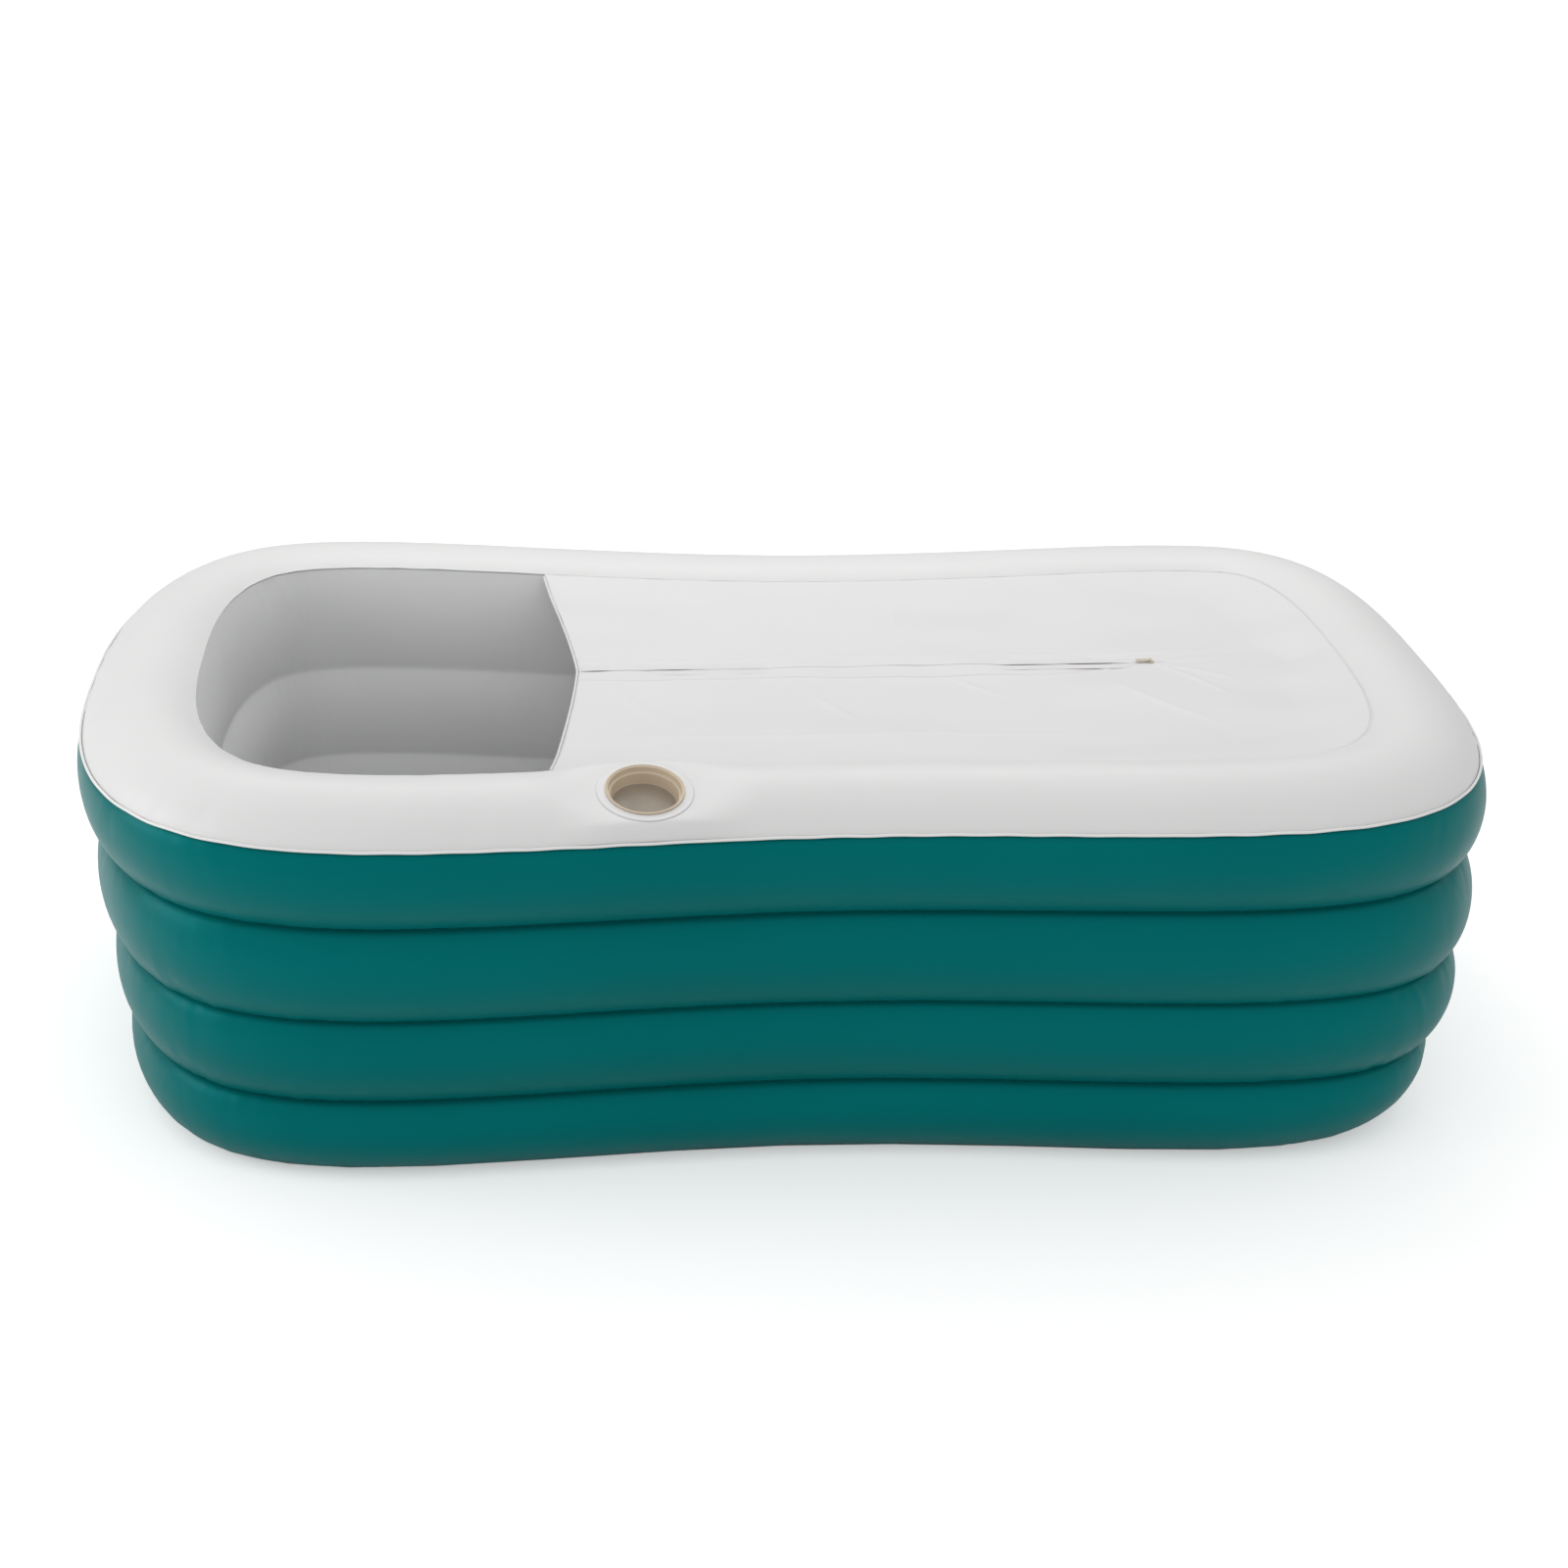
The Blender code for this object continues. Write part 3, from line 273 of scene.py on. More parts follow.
# Stage, dome and lamps. The dome's light goes from near to far, and turns to the overhead one with height
STAGE_REACH = 40.0
STAGE_GREY = 0.88
STAGE_GLOW = 0.40
DOME_NEAR_TO_FAR = (-0.9, 0.35, 0.585, 0.390)
DOME_LOW_TO_HIGH = (0.05, 0.85, 0.0, 1.0)
DOME_OVERHEAD = 0.895
DOME_SEEN = 1.0
LAMPS = (
    ("far_strip", (0.0, 0.9, 1.7), (0.0, 0.1, 0.45), (2.0, 0.6), 5.9),
    ("left_panel", (-2.3, -0.5, 0.9), (-0.8, 0.0, 0.2), (1.4, 1.0), 9.3),
)

# The camera, from the photograph's 1600 pixel frame
IMAGE_SIZE = 1600
SENSOR = 36.0
CAMERA_CLIP = (0.05, 100.0)
CAMERA_AZIMUTH = math.radians(-6.3360)
CAMERA_ELEVATION = math.radians(23.6217)
CAMERA_ROLL = math.radians(2.8535)
CAMERA_FOCAL_PX = 2697.38
CAMERA_DISTANCE = 3.2185
CAMERA_AIM = Vector((0.0018, 0.0, 0.2981))
OPTICAL_CENTRE_PX = (789.81, 800.14)


# Camera


def make_camera():
    azimuth, elevation, roll = CAMERA_AZIMUTH, CAMERA_ELEVATION, CAMERA_ROLL
    level = math.cos(elevation)
    back = Vector((math.sin(azimuth) * level, -math.cos(azimuth) * level, math.sin(elevation)))
    right = Vector((math.cos(azimuth), math.sin(azimuth), 0.0))
    up = back.cross(right)
    rolled_right = right * math.cos(roll) + up * math.sin(roll)
    rolled_up = up * math.cos(roll) - right * math.sin(roll)
    data = bpy.data.cameras.new("camera")
    data.sensor_width = SENSOR
    data.lens = CAMERA_FOCAL_PX / IMAGE_SIZE * SENSOR
    data.shift_x = 0.5 - OPTICAL_CENTRE_PX[0] / IMAGE_SIZE
    data.shift_y = OPTICAL_CENTRE_PX[1] / IMAGE_SIZE - 0.5
    data.clip_start, data.clip_end = CAMERA_CLIP
    camera = bpy.data.objects.new("camera", data)
    bpy.context.scene.collection.objects.link(camera)
    turn = Matrix((rolled_right, rolled_up, back)).transposed()
    camera.matrix_world = Matrix.Translation(CAMERA_AIM + back * CAMERA_DISTANCE) @ turn.to_4x4()
    bpy.context.scene.camera = camera


# Materials


def shade(colour, factor):
    return tuple(min(1.0, channel * factor) for channel in colour)


def map_range(tree, value, low, high, out_low, out_high):
    node = tree.nodes.new("ShaderNodeMapRange")
    node.inputs["From Min"].default_value = low
    node.inputs["From Max"].default_value = high
    node.inputs["To Min"].default_value = out_low
    node.inputs["To Max"].default_value = out_high
    tree.links.new(value, node.inputs["Value"])
    return node.outputs["Result"]


class Shader:
    """A Principled material with short calls for adding nodes."""

    def __init__(self, name, roughness):
        self.material = bpy.data.materials.new(name)
        self.material.use_nodes = True
        self.tree = self.material.node_tree
        self.surface = self.tree.nodes["Principled BSDF"]
        self.surface.inputs["Roughness"].default_value = roughness
        self.place = self.tree.nodes.new("ShaderNodeTexCoord").outputs["Object"]

    def link(self, source, target):
        self.tree.links.new(source, target)

    def noise(self, scale, detail=3.0, distortion=0.0):
        node = self.tree.nodes.new("ShaderNodeTexNoise")
        node.inputs["Scale"].default_value = scale
        node.inputs["Detail"].default_value = detail
        node.inputs["Distortion"].default_value = distortion
        self.link(self.place, node.inputs["Vector"])
        return node.outputs["Fac"]

    def mixed(self, share, first, second):
        """A colour between two, by a share. Either may be a colour or a socket."""
        node = self.tree.nodes.new("ShaderNodeMix")
        node.data_type = "RGBA"
        self.link(share, node.inputs["Factor"])
        for colour, socket in ((first, node.inputs[6]), (second, node.inputs[7])):
            if isinstance(colour, bpy.types.NodeSocket):
                self.link(colour, socket)
            else:
                socket.default_value = (*colour, 1.0)
        return node.outputs[2]

    def drifting(self, colour, scale, darker, lighter):
        """The colour, cloudily between a darker and a lighter shade of it."""
        share = map_range(self.tree, self.noise(scale), *DRIFT, 0.0, 1.0)
        return self.mixed(share, shade(colour, darker), shade(colour, lighter))

    def colour_with(self, socket):
        self.link(socket, self.surface.inputs["Base Color"])

    def uneven_gloss(self, pattern, roughness, change):
        gloss = map_range(self.tree, pattern, *DRIFT, roughness - change, roughness + change)
        self.link(gloss, self.surface.inputs["Roughness"])

    def attribute(self, name):
        node = self.tree.nodes.new("ShaderNodeAttribute")
        node.attribute_name = name
        return node.outputs["Fac"]

    def bumps(self, *layers):
        """Stack (height socket, strength, distance) layers of relief."""
        normal = None
        for height, strength, distance in layers:
            node = self.tree.nodes.new("ShaderNodeBump")
            node.inputs["Strength"].default_value = strength
            node.inputs["Distance"].default_value = distance
            self.link(height, node.inputs["Height"])
            if normal is not None:
                self.link(normal, node.inputs["Normal"])
            normal = node.outputs["Normal"]
        self.link(normal, self.surface.inputs["Normal"])

    def set(self, **values):
        for name, value in values.items():
            self.surface.inputs[name.replace("_", " ")].default_value = value


def vinyl(name, colour, roughness, spread, pulls=0.10, specular=0.5, tint=(1.0, 1.0, 1.0)):
    """Calendered film: fine grain, faint pulls, cloudy sheen, and a darker band along each weld, which is
    painted shade in the grooves and seams and marks the placket's welds on the cover.
    """
    shader = Shader(name, roughness)
    shader.set(Specular_IOR_Level=specular, Specular_Tint=(*tint, 1.0))
    base = shader.drifting(colour, 2.4, 1 - spread, 1 + spread)
    # Along the weld mask the colour is mixed toward a fifth darker: painted shade where the welds lie in
    # grooves and seams
    weld = map_range(shader.tree, shader.attribute("weld"), 0.0, 1.0, 0.0, 0.35)
    shader.colour_with(shader.mixed(weld, base, shade(colour, 0.80)))
    shader.uneven_gloss(shader.noise(9.0, 4.0, distortion=0.6), roughness, 0.05)
    broad = shader.noise(26.0, 3.0, distortion=0.4)
    fine = shader.noise(1400.0, 2.0)
    shader.bumps((broad, pulls, 0.0012), (fine, 0.30, 0.00006))
    return shader.material


def moulded(name, colour, roughness, spread=0.04):
    """Moulded plastic with a faint texture and uneven gloss."""
    shader = Shader(name, roughness)
    shader.colour_with(shader.drifting(colour, 38.0, 1 - spread, 1 + spread))
    shader.uneven_gloss(shader.noise(90.0), roughness, 0.06)
    shader.bumps((shader.noise(900.0, 2.0), 0.12, 0.00008))
    return shader.material


def translucent(name, colour, roughness):
    """Soft milky PVC of the fittings."""
    shader = Shader(name, roughness)
    shader.colour_with(shader.drifting(colour, 60.0, 0.95, 1.04))
    shader.set(Subsurface_Weight=0.35, Subsurface_Scale=0.004, Subsurface_Radius=(1.0, 0.95, 0.9))
    shader.set(Coat_Weight=0.25, Coat_Roughness=0.2)
    shader.bumps((shader.noise(700.0, 2.0), 0.10, 0.00008))
    return shader.material


def woven(name, colour, pitch):
    """Zip tape: a fine twill."""
    shader = Shader(name, 0.85)
    wave = shader.tree.nodes.new("ShaderNodeTexWave")
    wave.wave_type = "BANDS"
    wave.bands_direction = "DIAGONAL"
    wave.inputs["Scale"].default_value = 1.0 / pitch / 6.0
    wave.inputs["Distortion"].default_value = 0.6
    shader.link(shader.place, wave.inputs["Vector"])
    shader.colour_with(shader.mixed(wave.outputs["Fac"], shade(colour, 0.88), shade(colour, 1.05)))
    shader.set(Sheen_Weight=0.25)
    shader.bumps((wave.outputs["Fac"], 0.5, 0.0001))
    return shader.material


# Plan


def lift(x):
    along = x / (LENGTH / 2)
    lean = (FOOT_RISE - HEAD_RISE) / 2
    dish = (FOOT_RISE + HEAD_RISE) / 2
    return 1 + (lean * along + dish * along ** 2) / SEAM_HEIGHT


def smooth_fall(value, full, nothing):
    share = np.clip((nothing - value) / (nothing - full), 0, 1)
    return share * share * (3 - 2 * share)


def foot_reach(x, y, height):
    """How far the outer film is carried out at the foot's corners, between the seam and the ground."""
    depth = np.clip(SEAM_HEIGHT - height, 0, None) / SEAM_HEIGHT
    share = smooth_fall(x, LENGTH / 2, FOOT_REACH_START) * smooth_fall(np.abs(y), *FOOT_REACH_ASIDE)
    return FOOT_REACH * depth * (1 - depth ** FOOT_REACH_POWER) * share


def far_half():
    """Points of the seam's far half, close together, from the foot's tip to the head's tip."""
    angle = np.linspace(0, math.pi, PLAN_SAMPLES)
    cosine = np.cos(angle)
    sine = np.clip(np.sin(angle), 0, 1)
    power = np.where(cosine > 0, FOOT_CORNER_POWER, HEAD_CORNER_POWER)
    along = np.sign(cosine) * np.abs(cosine) ** (2 / power)
    lean = (FOOT_FLARE_WIDTH - HEAD_FLARE_WIDTH) / 4
    flare = (FOOT_FLARE_WIDTH + HEAD_FLARE_WIDTH) / 4 - WAIST_WIDTH / 2
    half_width = WAIST_WIDTH / 2 + lean * along + flare * along ** 2
    return np.stack([along * LENGTH / 2, half_width * sine ** (2 / power)], axis=1)


class Plan:
    """Stations round the outer seam: places, outward normals, running length and turn."""

    def __init__(self, count):
        half = far_half()
        near = half[-2:0:-1] * np.array([1.0, -1.0])
        points = np.concatenate([half, near, half[:1]])
        steps = np.diff(points, axis=0)
        lengths = np.linalg.norm(steps, axis=1)
        heading = np.unwrap(np.arctan2(steps[:, 1], steps[:, 0]))
        turn = np.abs(np.diff(heading, prepend=heading[0]))
        cost = np.concatenate([[0], np.cumsum(lengths + CORNER_CROWDING * turn)])
        run = np.concatenate([[0], np.cumsum(lengths)])
        places = np.linspace(0, cost[-1], count, endpoint=False)
        middles = (cost[1:] + cost[:-1]) / 2
        direction = np.interp(places, middles, heading)
        self.x = np.interp(places, cost, points[:, 0])
        self.y = np.interp(places, cost, points[:, 1])
        self.nx = np.sin(direction)
        self.ny = -np.cos(direction)
        self.run = np.interp(places, cost, run)
        self.total = run[-1]
        spread = np.interp(places, middles, np.cumsum(turn))
        self.bend = np.gradient(spread) / np.gradient(self.run)

    def place(self, outward, height, reach=0.0):
        """Points for profile values (outward, height), given as one row or as a grid."""
        outward = np.broadcast_to(outward, (len(self.x), np.shape(outward)[-1]))
        height = np.broadcast_to(height, outward.shape)
        x = self.x[:, None] + self.nx[:, None] * outward
        y = self.y[:, None] + self.ny[:, None] * outward
        return np.stack([x + reach * foot_reach(x, y, height), y, height * lift(self.x)[:, None]], axis=-1)


PLAN = Plan(STATIONS)


def arc(start, end, bulge, steps):
    """The circular arc from start to end that bulges to its left, as rows of outward and height."""
    across = np.subtract(end, start)
    span = np.hypot(*across)
    unit = across / span
    radius = (span ** 2 / 4 + bulge ** 2) / (2 * bulge)
    sweep = math.asin(span / 2 / radius)
    angle = np.linspace(-sweep, sweep, steps + 1)
    run = span / 2 + radius * np.sin(angle)
    rise = radius * np.cos(angle) - (radius - bulge)
    return start[0] + unit[0] * run - unit[1] * rise, start[1] + unit[1] * run + unit[0] * rise


# Relief of the films


def puckers(run, depth, seed, height=PUCKER_HEIGHT, spacing=PUCKER_SPACING, bend=None):
    """Short creases off a weld, stronger where it bends. run is along it and depth is away from it."""
    rng = np.random.default_rng(seed)
    count = int(PLAN.total / spacing)
    relief = np.zeros(np.broadcast_shapes(run.shape, depth.shape))
    for place in rng.uniform(0, PLAN.total, count):
        width = rng.uniform(*PUCKER_WIDTH)
        reach = rng.uniform(*PUCKER_REACH)
        slant = rng.uniform(-PUCKER_SLANT, PUCKER_SLANT)
        strength = rng.uniform(0.3, 1.0) * rng.choice([-1.0, 1.0, -1.0])
        if bend is not None:
            turn = float(np.interp(place, PLAN.run, bend)) / PUCKER_TURN
            strength *= PUCKER_STRAIGHT_SHARE + min(PUCKER_TURN_SHARE_MOST, turn)
        offset = (run - place - slant * depth) / width
        share = depth / reach
        along = np.exp(-np.clip(offset ** 2, 0, 30))
        relief += strength * along * share * np.exp(1 - np.clip(share, 0, 30))
    return relief * height


def swell(run, share, seed, height=SWELL_HEIGHT):
    """Slow uneven swelling round a ring, none at its welds."""
    rng = np.random.default_rng(seed)
    relief = np.zeros(np.broadcast_shapes(run.shape, share.shape))
    for wave in range(1, SWELL_WAVES):
        phase, skew = rng.uniform(0, 2 * math.pi, 2)
        turns = 2 * math.pi * (wave * 2 + 1) / PLAN.total
        relief += np.sin(run * turns + phase + skew * share) * rng.uniform(0.3, 1.0) / wave ** 0.6
    return relief * height / 2 * np.sin(math.pi * share)


def normals_of(points):
    """Outward normals of a grid of points that closes round the plan."""
    along = np.roll(points, -1, axis=0) - np.roll(points, 1, axis=0)
    down = np.gradient(points, axis=1)
    normal = np.cross(down, along)
    return normal / np.maximum(np.linalg.norm(normal, axis=-1, keepdims=True), 1e-12)


def raised(points, relief):
    return points + normals_of(points) * relief[..., None]


def profile_run(points):
    """Distance along each station's profile, from its first point."""
    steps = np.linalg.norm(np.diff(points, axis=1), axis=-1)
    return np.concatenate([np.zeros((len(points), 1)), np.cumsum(steps, axis=1)], axis=1)


# Meshes


def grid_object(name, points, material, weld=None, thickness=FILM):
    """Smooth quads over a grid of points that closes round, with a film's thickness and its weld mask,
    along which the vinyl paints shade.
    """
    count, width = points.shape[:2]
    i, j = np.meshgrid(np.arange(count), np.arange(width - 1), indexing="ij")
    k = (i + 1) % count
    quads = np.stack([i * width + j, i * width + j + 1, k * width + j + 1, k * width + j], axis=-1)
    mesh = bpy.data.meshes.new(name)
    mesh.from_pydata(points.reshape(-1, 3).tolist(), [], quads.reshape(-1, 4).tolist())
    if weld is not None:
        mask = mesh.attributes.new("weld", "FLOAT", "POINT")
        mask.data.foreach_set("value", np.broadcast_to(weld, points.shape[:2]).ravel().astype(np.float32))
    return finished(name, mesh, material, thickness)


def finished(name, mesh, material, thickness=0.0):
    mesh.validate()
    mesh.shade_smooth()
    mesh.materials.append(material)
    thing = bpy.data.objects.new(name, mesh)
    bpy.context.scene.collection.objects.link(thing)
    if thickness:
        film = thing.modifiers.new("film", "SOLIDIFY")
        film.thickness = thickness
        film.offset = -1.0
    return thing


def stand_for(thing, node):
    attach(thing, "tub")
    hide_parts(node)
    return thing


# Fittings' frames, read from the frame's own solids


def disc_frame(node, upward):
    """A frame on a round node's axis, with Z along the first of two directions, the side it faces."""
    points = np.array([vert.co for vert in NODES[node].data.vertices])
    centre = (points.min(axis=0) + points.max(axis=0)) / 2
    spread = points - points.mean(axis=0)
    axis = Vector(np.linalg.svd(spread, full_matrices=False)[2][-1])
    if axis.dot(upward[0]) < 0:
        axis = -axis
    sideways = upward[1].cross(axis).normalized()
    frame_turn = Matrix((sideways, axis.cross(sideways), axis)).transposed()
    return Matrix.Translation(centre) @ frame_turn.to_4x4()


def film_plane(frame_of, node, rise):
    """The same frame moved to the film's plane, a known rise under the node's highest point."""
    inverse = frame_of.inverted()
    top = max((inverse @ vert.co).z for vert in NODES[node].data.vertices)
    return frame_of @ Matrix.Translation((0.0, 0.0, top - rise))


def drawn_to(points, fitting, full, nothing, weight=1.0):
    """Film points drawn onto the flat seat of the fitting welded into the film."""
    inverse = np.array(fitting.inverted())
    local = points @ inverse[:3, :3].T + inverse[:3, 3]
    pull = smooth_fall(np.hypot(local[..., 0], local[..., 1]), full, nothing) * weight
    local[..., 2] *= 1 - pull * (np.abs(local[..., 2]) < nothing)
    forward = np.array(fitting)
    return local @ forward[:3, :3].T + forward[:3, 3]


def pierce(thing, fitting, radius):
    """A round hole through a film, on a fitting's axis."""
    inverse = fitting.inverted()
    forward = fitting.copy()
    bm = bmesh.new()
    bm.from_mesh(thing.data)
    inside = set()
    for vert in bm.verts:
        local = inverse @ vert.co
        if math.hypot(local.x, local.y) < radius and abs(local.z) < radius:
            inside.add(vert)
    lost = [face for face in bm.faces if all(vert in inside for vert in face.verts)]
    bmesh.ops.delete(bm, geom=lost, context="FACES")
    for vert in bm.verts:
        local = inverse @ vert.co
        reach = math.hypot(local.x, local.y)
        if reach < radius and abs(local.z) < radius:
            vert.co = forward @ Vector((local.x / reach * radius, local.y / reach * radius, local.z))
    bm.to_mesh(thing.data)
    bm.free()


TO_FOOT = Vector((1.0, 0.0, 0.0))
FAR = Vector((0.0, 1.0, 0.0))
UP = Vector((0.0, 0.0, 1.0))
CUP = film_plane(disc_frame("cup_flange", (UP, FAR)), "cup_flange", CUP_SEAT_RISE + FLANGE_THICKNESS)
DRAIN = film_plane(disc_frame("drain_collar", (TO_FOOT, UP)), "drain_pipe", DRAIN_FACE)
WALL_DEPTH = DRAIN.translation.x - max(vert.co.x for vert in NODES["drain_collar"].data.vertices)
VALVES = {
    place: film_plane(disc_frame(f"{place}_valve_flap", facing), f"{place}_valve_base", VALVE_NECK_HEIGHT)
    for place, facing in (("ring_2", (FAR, UP)), ("ring_4", (FAR, UP)), ("floor", (UP, TO_FOOT)))
}


# Walls


def tucked(outward, height, top_depth, bottom_depth):
    """A wall profile whose ends run into their welds."""
    steps = np.hypot(np.diff(outward), np.diff(height))
    run = np.concatenate([[0], np.cumsum(steps)])
    inward = top_depth * np.exp(-run / TUCK_REACH) + bottom_depth * np.exp(-(run[-1] - run) / TUCK_REACH)
    return outward - inward, height


def crowded(outward, height):
    """The profile with more points near its two ends."""
    share = np.linspace(0, 1, RING_STEPS)
    eased = share - RING_END_CROWDING * np.sin(2 * math.pi * share) / (2 * math.pi)
    steps = np.hypot(np.diff(outward), np.diff(height))
    run = np.concatenate([[0], np.cumsum(steps)])
    return np.interp(eased * run[-1], run, outward), np.interp(eased * run[-1], run, height)


def wall_ring(number, material):
    corners = [(0.0, SEAM_HEIGHT)] + [(-back, high) for back, high in zip(GROOVE_SETBACKS, GROOVE_HEIGHTS)]
    corners.append((-GROUND_SETBACK, GROUND_GAP))
    top, bottom = corners[number - 1], corners[number]
    outward, height = crowded(*arc(top, bottom, OUTER_BULGES[number - 1], ARC_STEPS))
    top_tuck = SEAM_TUCK_DEPTH if number == 1 else TUCK_DEPTH
    bottom_tuck = 0.0 if number == len(OUTER_BULGES) else TUCK_DEPTH
    outward, height = tucked(outward, height, top_tuck, bottom_tuck)
    points = PLAN.place(outward, height, reach=1.0)
    depth = profile_run(points)
    span = depth[:, -1:]
    run = PLAN.run[:, None]
    relief = puckers(run, depth, 10 * number, bend=PLAN.bend)
    relief += puckers(run, span - depth, 10 * number + 1, bend=PLAN.bend)
    relief += swell(run, depth / span, 10 * number + 2)
    points = raised(points, relief)
    valve = VALVES.get(f"ring_{number}")
    if valve:
        points = drawn_to(points, valve, VALVE_FLAT_RADIUS, VALVE_FLAT_REACH)
    # The film painted darker toward both of its welds, as painted shade of the grooves
    weld = np.exp(-depth / TUCK_REACH) + np.exp(-(span - depth) / TUCK_REACH)
    thing = grid_object(f"wall_ring_{number}", points, material, weld=np.clip(weld, 0, 1))
    if valve:
        pierce(thing, valve, VALVE_NECK_RADIUS + FITTING_GAP)
    if number == len(OUTER_BULGES):
        pierce(thing, DRAIN, DRAIN_RADIUS + FITTING_GAP)
    return stand_for(thing, f"outer_wall_{number}")


def weld_edge(number, material):
    """The web between two rings, whose welded edge shows as a fine line in the groove."""
    inner = -INNER_GROOVE_SETBACKS[number - 1] + WEB_INNER_GAP
    outer = -GROOVE_SETBACKS[number - 1] - TUCK_DEPTH * WEB_TUCK_SHARE
    outward = np.linspace(inner, outer, WEB_STEPS)
    points = PLAN.place(outward, GROOVE_HEIGHTS[number - 1], reach=np.linspace(0, 1, WEB_STEPS))
    thing = grid_object(f"ring_web_{number}", points, material)
    return stand_for(thing, f"web_{number}")


def rim(material):
    inner_weld = (-RIM_WIDTH, SEAM_HEIGHT + RIM_RISE)
    points = PLAN.place(*crowded(*arc(inner_weld, (0.0, SEAM_HEIGHT), RIM_ARCH, ARC_STEPS)))
    depth = profile_run(points)
    span = depth[:, -1:]
    run = PLAN.run[:, None]
    relief = puckers(run, span - depth, 101, spacing=RIM_SEAM_PUCKER_SPACING, bend=PLAN.bend)
    relief += puckers(run, depth, 102, height=RIM_INNER_PUCKER_HEIGHT)
    relief += swell(run, depth / span, 103, height=RIM_SWELL_HEIGHT)
    points = raised(points, relief)
    clear_of_welds = np.clip(np.minimum(depth, span - depth) / CUP_WELD_CLEARANCE, 0, 1)
    points = drawn_to(points, CUP, CUP_FLAT_RADIUS, CUP_FLAT_REACH, clear_of_welds)
    # The film painted darker toward the outer seam, as painted shade at the seam
    weld = np.exp(-(span - depth) / RIM_PAINTED_SHADE_REACH) * RIM_PAINTED_SHADE_SHARE
    thing = grid_object("rim_skin", points, material, weld=weld)
    pierce(thing, CUP, CUP_BODY_RADIUS + FITTING_GAP)
    return stand_for(thing, "top_skin")


def bath_wall(material):
    corners = [(-INNER_GROUND_SETBACK, GROUND_GAP)]
    corners += [(-back, high) for back, high in zip(INNER_GROOVE_SETBACKS, GROOVE_HEIGHTS)][::-1]
    corners.append((-RIM_WIDTH, SEAM_HEIGHT + RIM_RISE - FILM * 2))
    outward, height = [], []
    for low, high, bulge in zip(corners, corners[1:], INNER_BULGES[::-1]):
        part_out, part_high = arc(low, high, bulge, PROFILE_STEPS)
        outward += list(part_out[:-1])
        height += list(part_high[:-1])
    outward.append(corners[-1][0])
    height.append(corners[-1][1])
    points = PLAN.place(np.array(outward), np.array(height))
    depth = profile_run(points)
    run = PLAN.run[:, None]
    relief = np.zeros(depth.shape)
    # The film painted darker at each weld, as painted shade in the grooves between the inner rings
    weld = np.zeros(depth.shape)
    for index in range(len(corners)):
        column = min(index * PROFILE_STEPS, depth.shape[1] - 1)
        away = np.abs(depth - depth[:, column : column + 1])
        relief += puckers(run, away, 200 + index, bend=PLAN.bend)
        weld += np.exp(-away / TUCK_REACH)
    points = raised(points, relief)
    thing = grid_object("bath_wall", points, material, weld=np.clip(weld, 0, 1))
    drain_inside = DRAIN @ Matrix.Translation((0.0, 0.0, -WALL_DEPTH))
    pierce(thing, drain_inside, DRAIN_RADIUS + FITTING_GAP)
    return stand_for(thing, "inner_wall")


def bead(name, centre, radius, material, node):
    """A tube of piping round the plan."""
    angle = -np.linspace(0, 2 * math.pi, BEAD_SIDES, endpoint=False)
    rng = np.random.default_rng(len(name))
    waves = (np.sin(PLAN.run * rng.uniform(20, 120) + rng.uniform(0, 6)) for _ in range(5))
    rings = PLAN.place(centre[0] + radius * np.cos(angle), centre[1] + radius * np.sin(angle))
    rings[..., 2] += (sum(waves) * BEAD_WOBBLE)[:, None]
    rings = np.concatenate([rings, rings[:, :1]], axis=1)
    thing = grid_object(name, rings, material, thickness=0.0)
    return stand_for(thing, node)


# Floor


def air_floor(material):
    edge = PLAN.place(np.array([-FLOOR_SETBACK]), np.array([SEAM_HEIGHT]))[:, 0]
    spine = edge * np.array([FLOOR_SPINE_SHARE, 0.0, 0.0])
    turn = np.linspace(0, math.pi, PROFILE_STEPS)
    outer = FLOOR_WELD_SHARE * (1 - np.cos(turn)) / 2
    outer_high = FLOOR_EDGE_HEIGHT + (FLOOR_WELD_HEIGHT - FLOOR_EDGE_HEIGHT) * outer / FLOOR_WELD_SHARE
    outer_high = outer_high + FLOOR_CROWN * np.sin(turn)
    half = turn[1:] / 2
    inner = FLOOR_WELD_SHARE + (1 - FLOOR_WELD_SHARE) * (1 - np.cos(half))
    inner_high = FLOOR_WELD_HEIGHT + FLOOR_CROWN * np.sin(half)
    share = np.concatenate([outer, inner])[::-1]
    high = np.concatenate([outer_high, inner_high])[::-1]
    points = edge[:, None] * (1 - share[None, :, None]) + spine[:, None] * share[None, :, None]
    points[..., 2] = high
    depth = profile_run(points)
    run = PLAN.run[:, None]
    weld_column = len(inner)
    away = np.abs(depth - depth[:, weld_column : weld_column + 1])
    relief = puckers(run, away, 301, FLOOR_PUCKER_HEIGHT, FLOOR_PUCKER_SPACING)
    relief += puckers(run, depth[:, -1:] - depth, 302, FLOOR_PUCKER_HEIGHT, FLOOR_PUCKER_SPACING)
    relief *= np.clip(depth / FLOOR_SPINE_CALM, 0, 1)
    points[..., 2] += relief
    points = drawn_to(points, VALVES["floor"], VALVE_FLAT_RADIUS, VALVE_FLAT_REACH)
    # The film painted darker along its weld, as painted shade in the valley between the floor's tubes
    thing = grid_object("air_floor", points, material, weld=np.exp(-away / TUCK_REACH))
    pierce(thing, VALVES["floor"], VALVE_NECK_RADIUS + FITTING_GAP)
    return stand_for(thing, "floor_sheet")


# Cover

COVER_SLOPE = (COVER_LINE_FOOT_HEIGHT - COVER_LINE_HEAD_HEIGHT) / (SLIT_END_X - OPENING_MIDDLE_X)


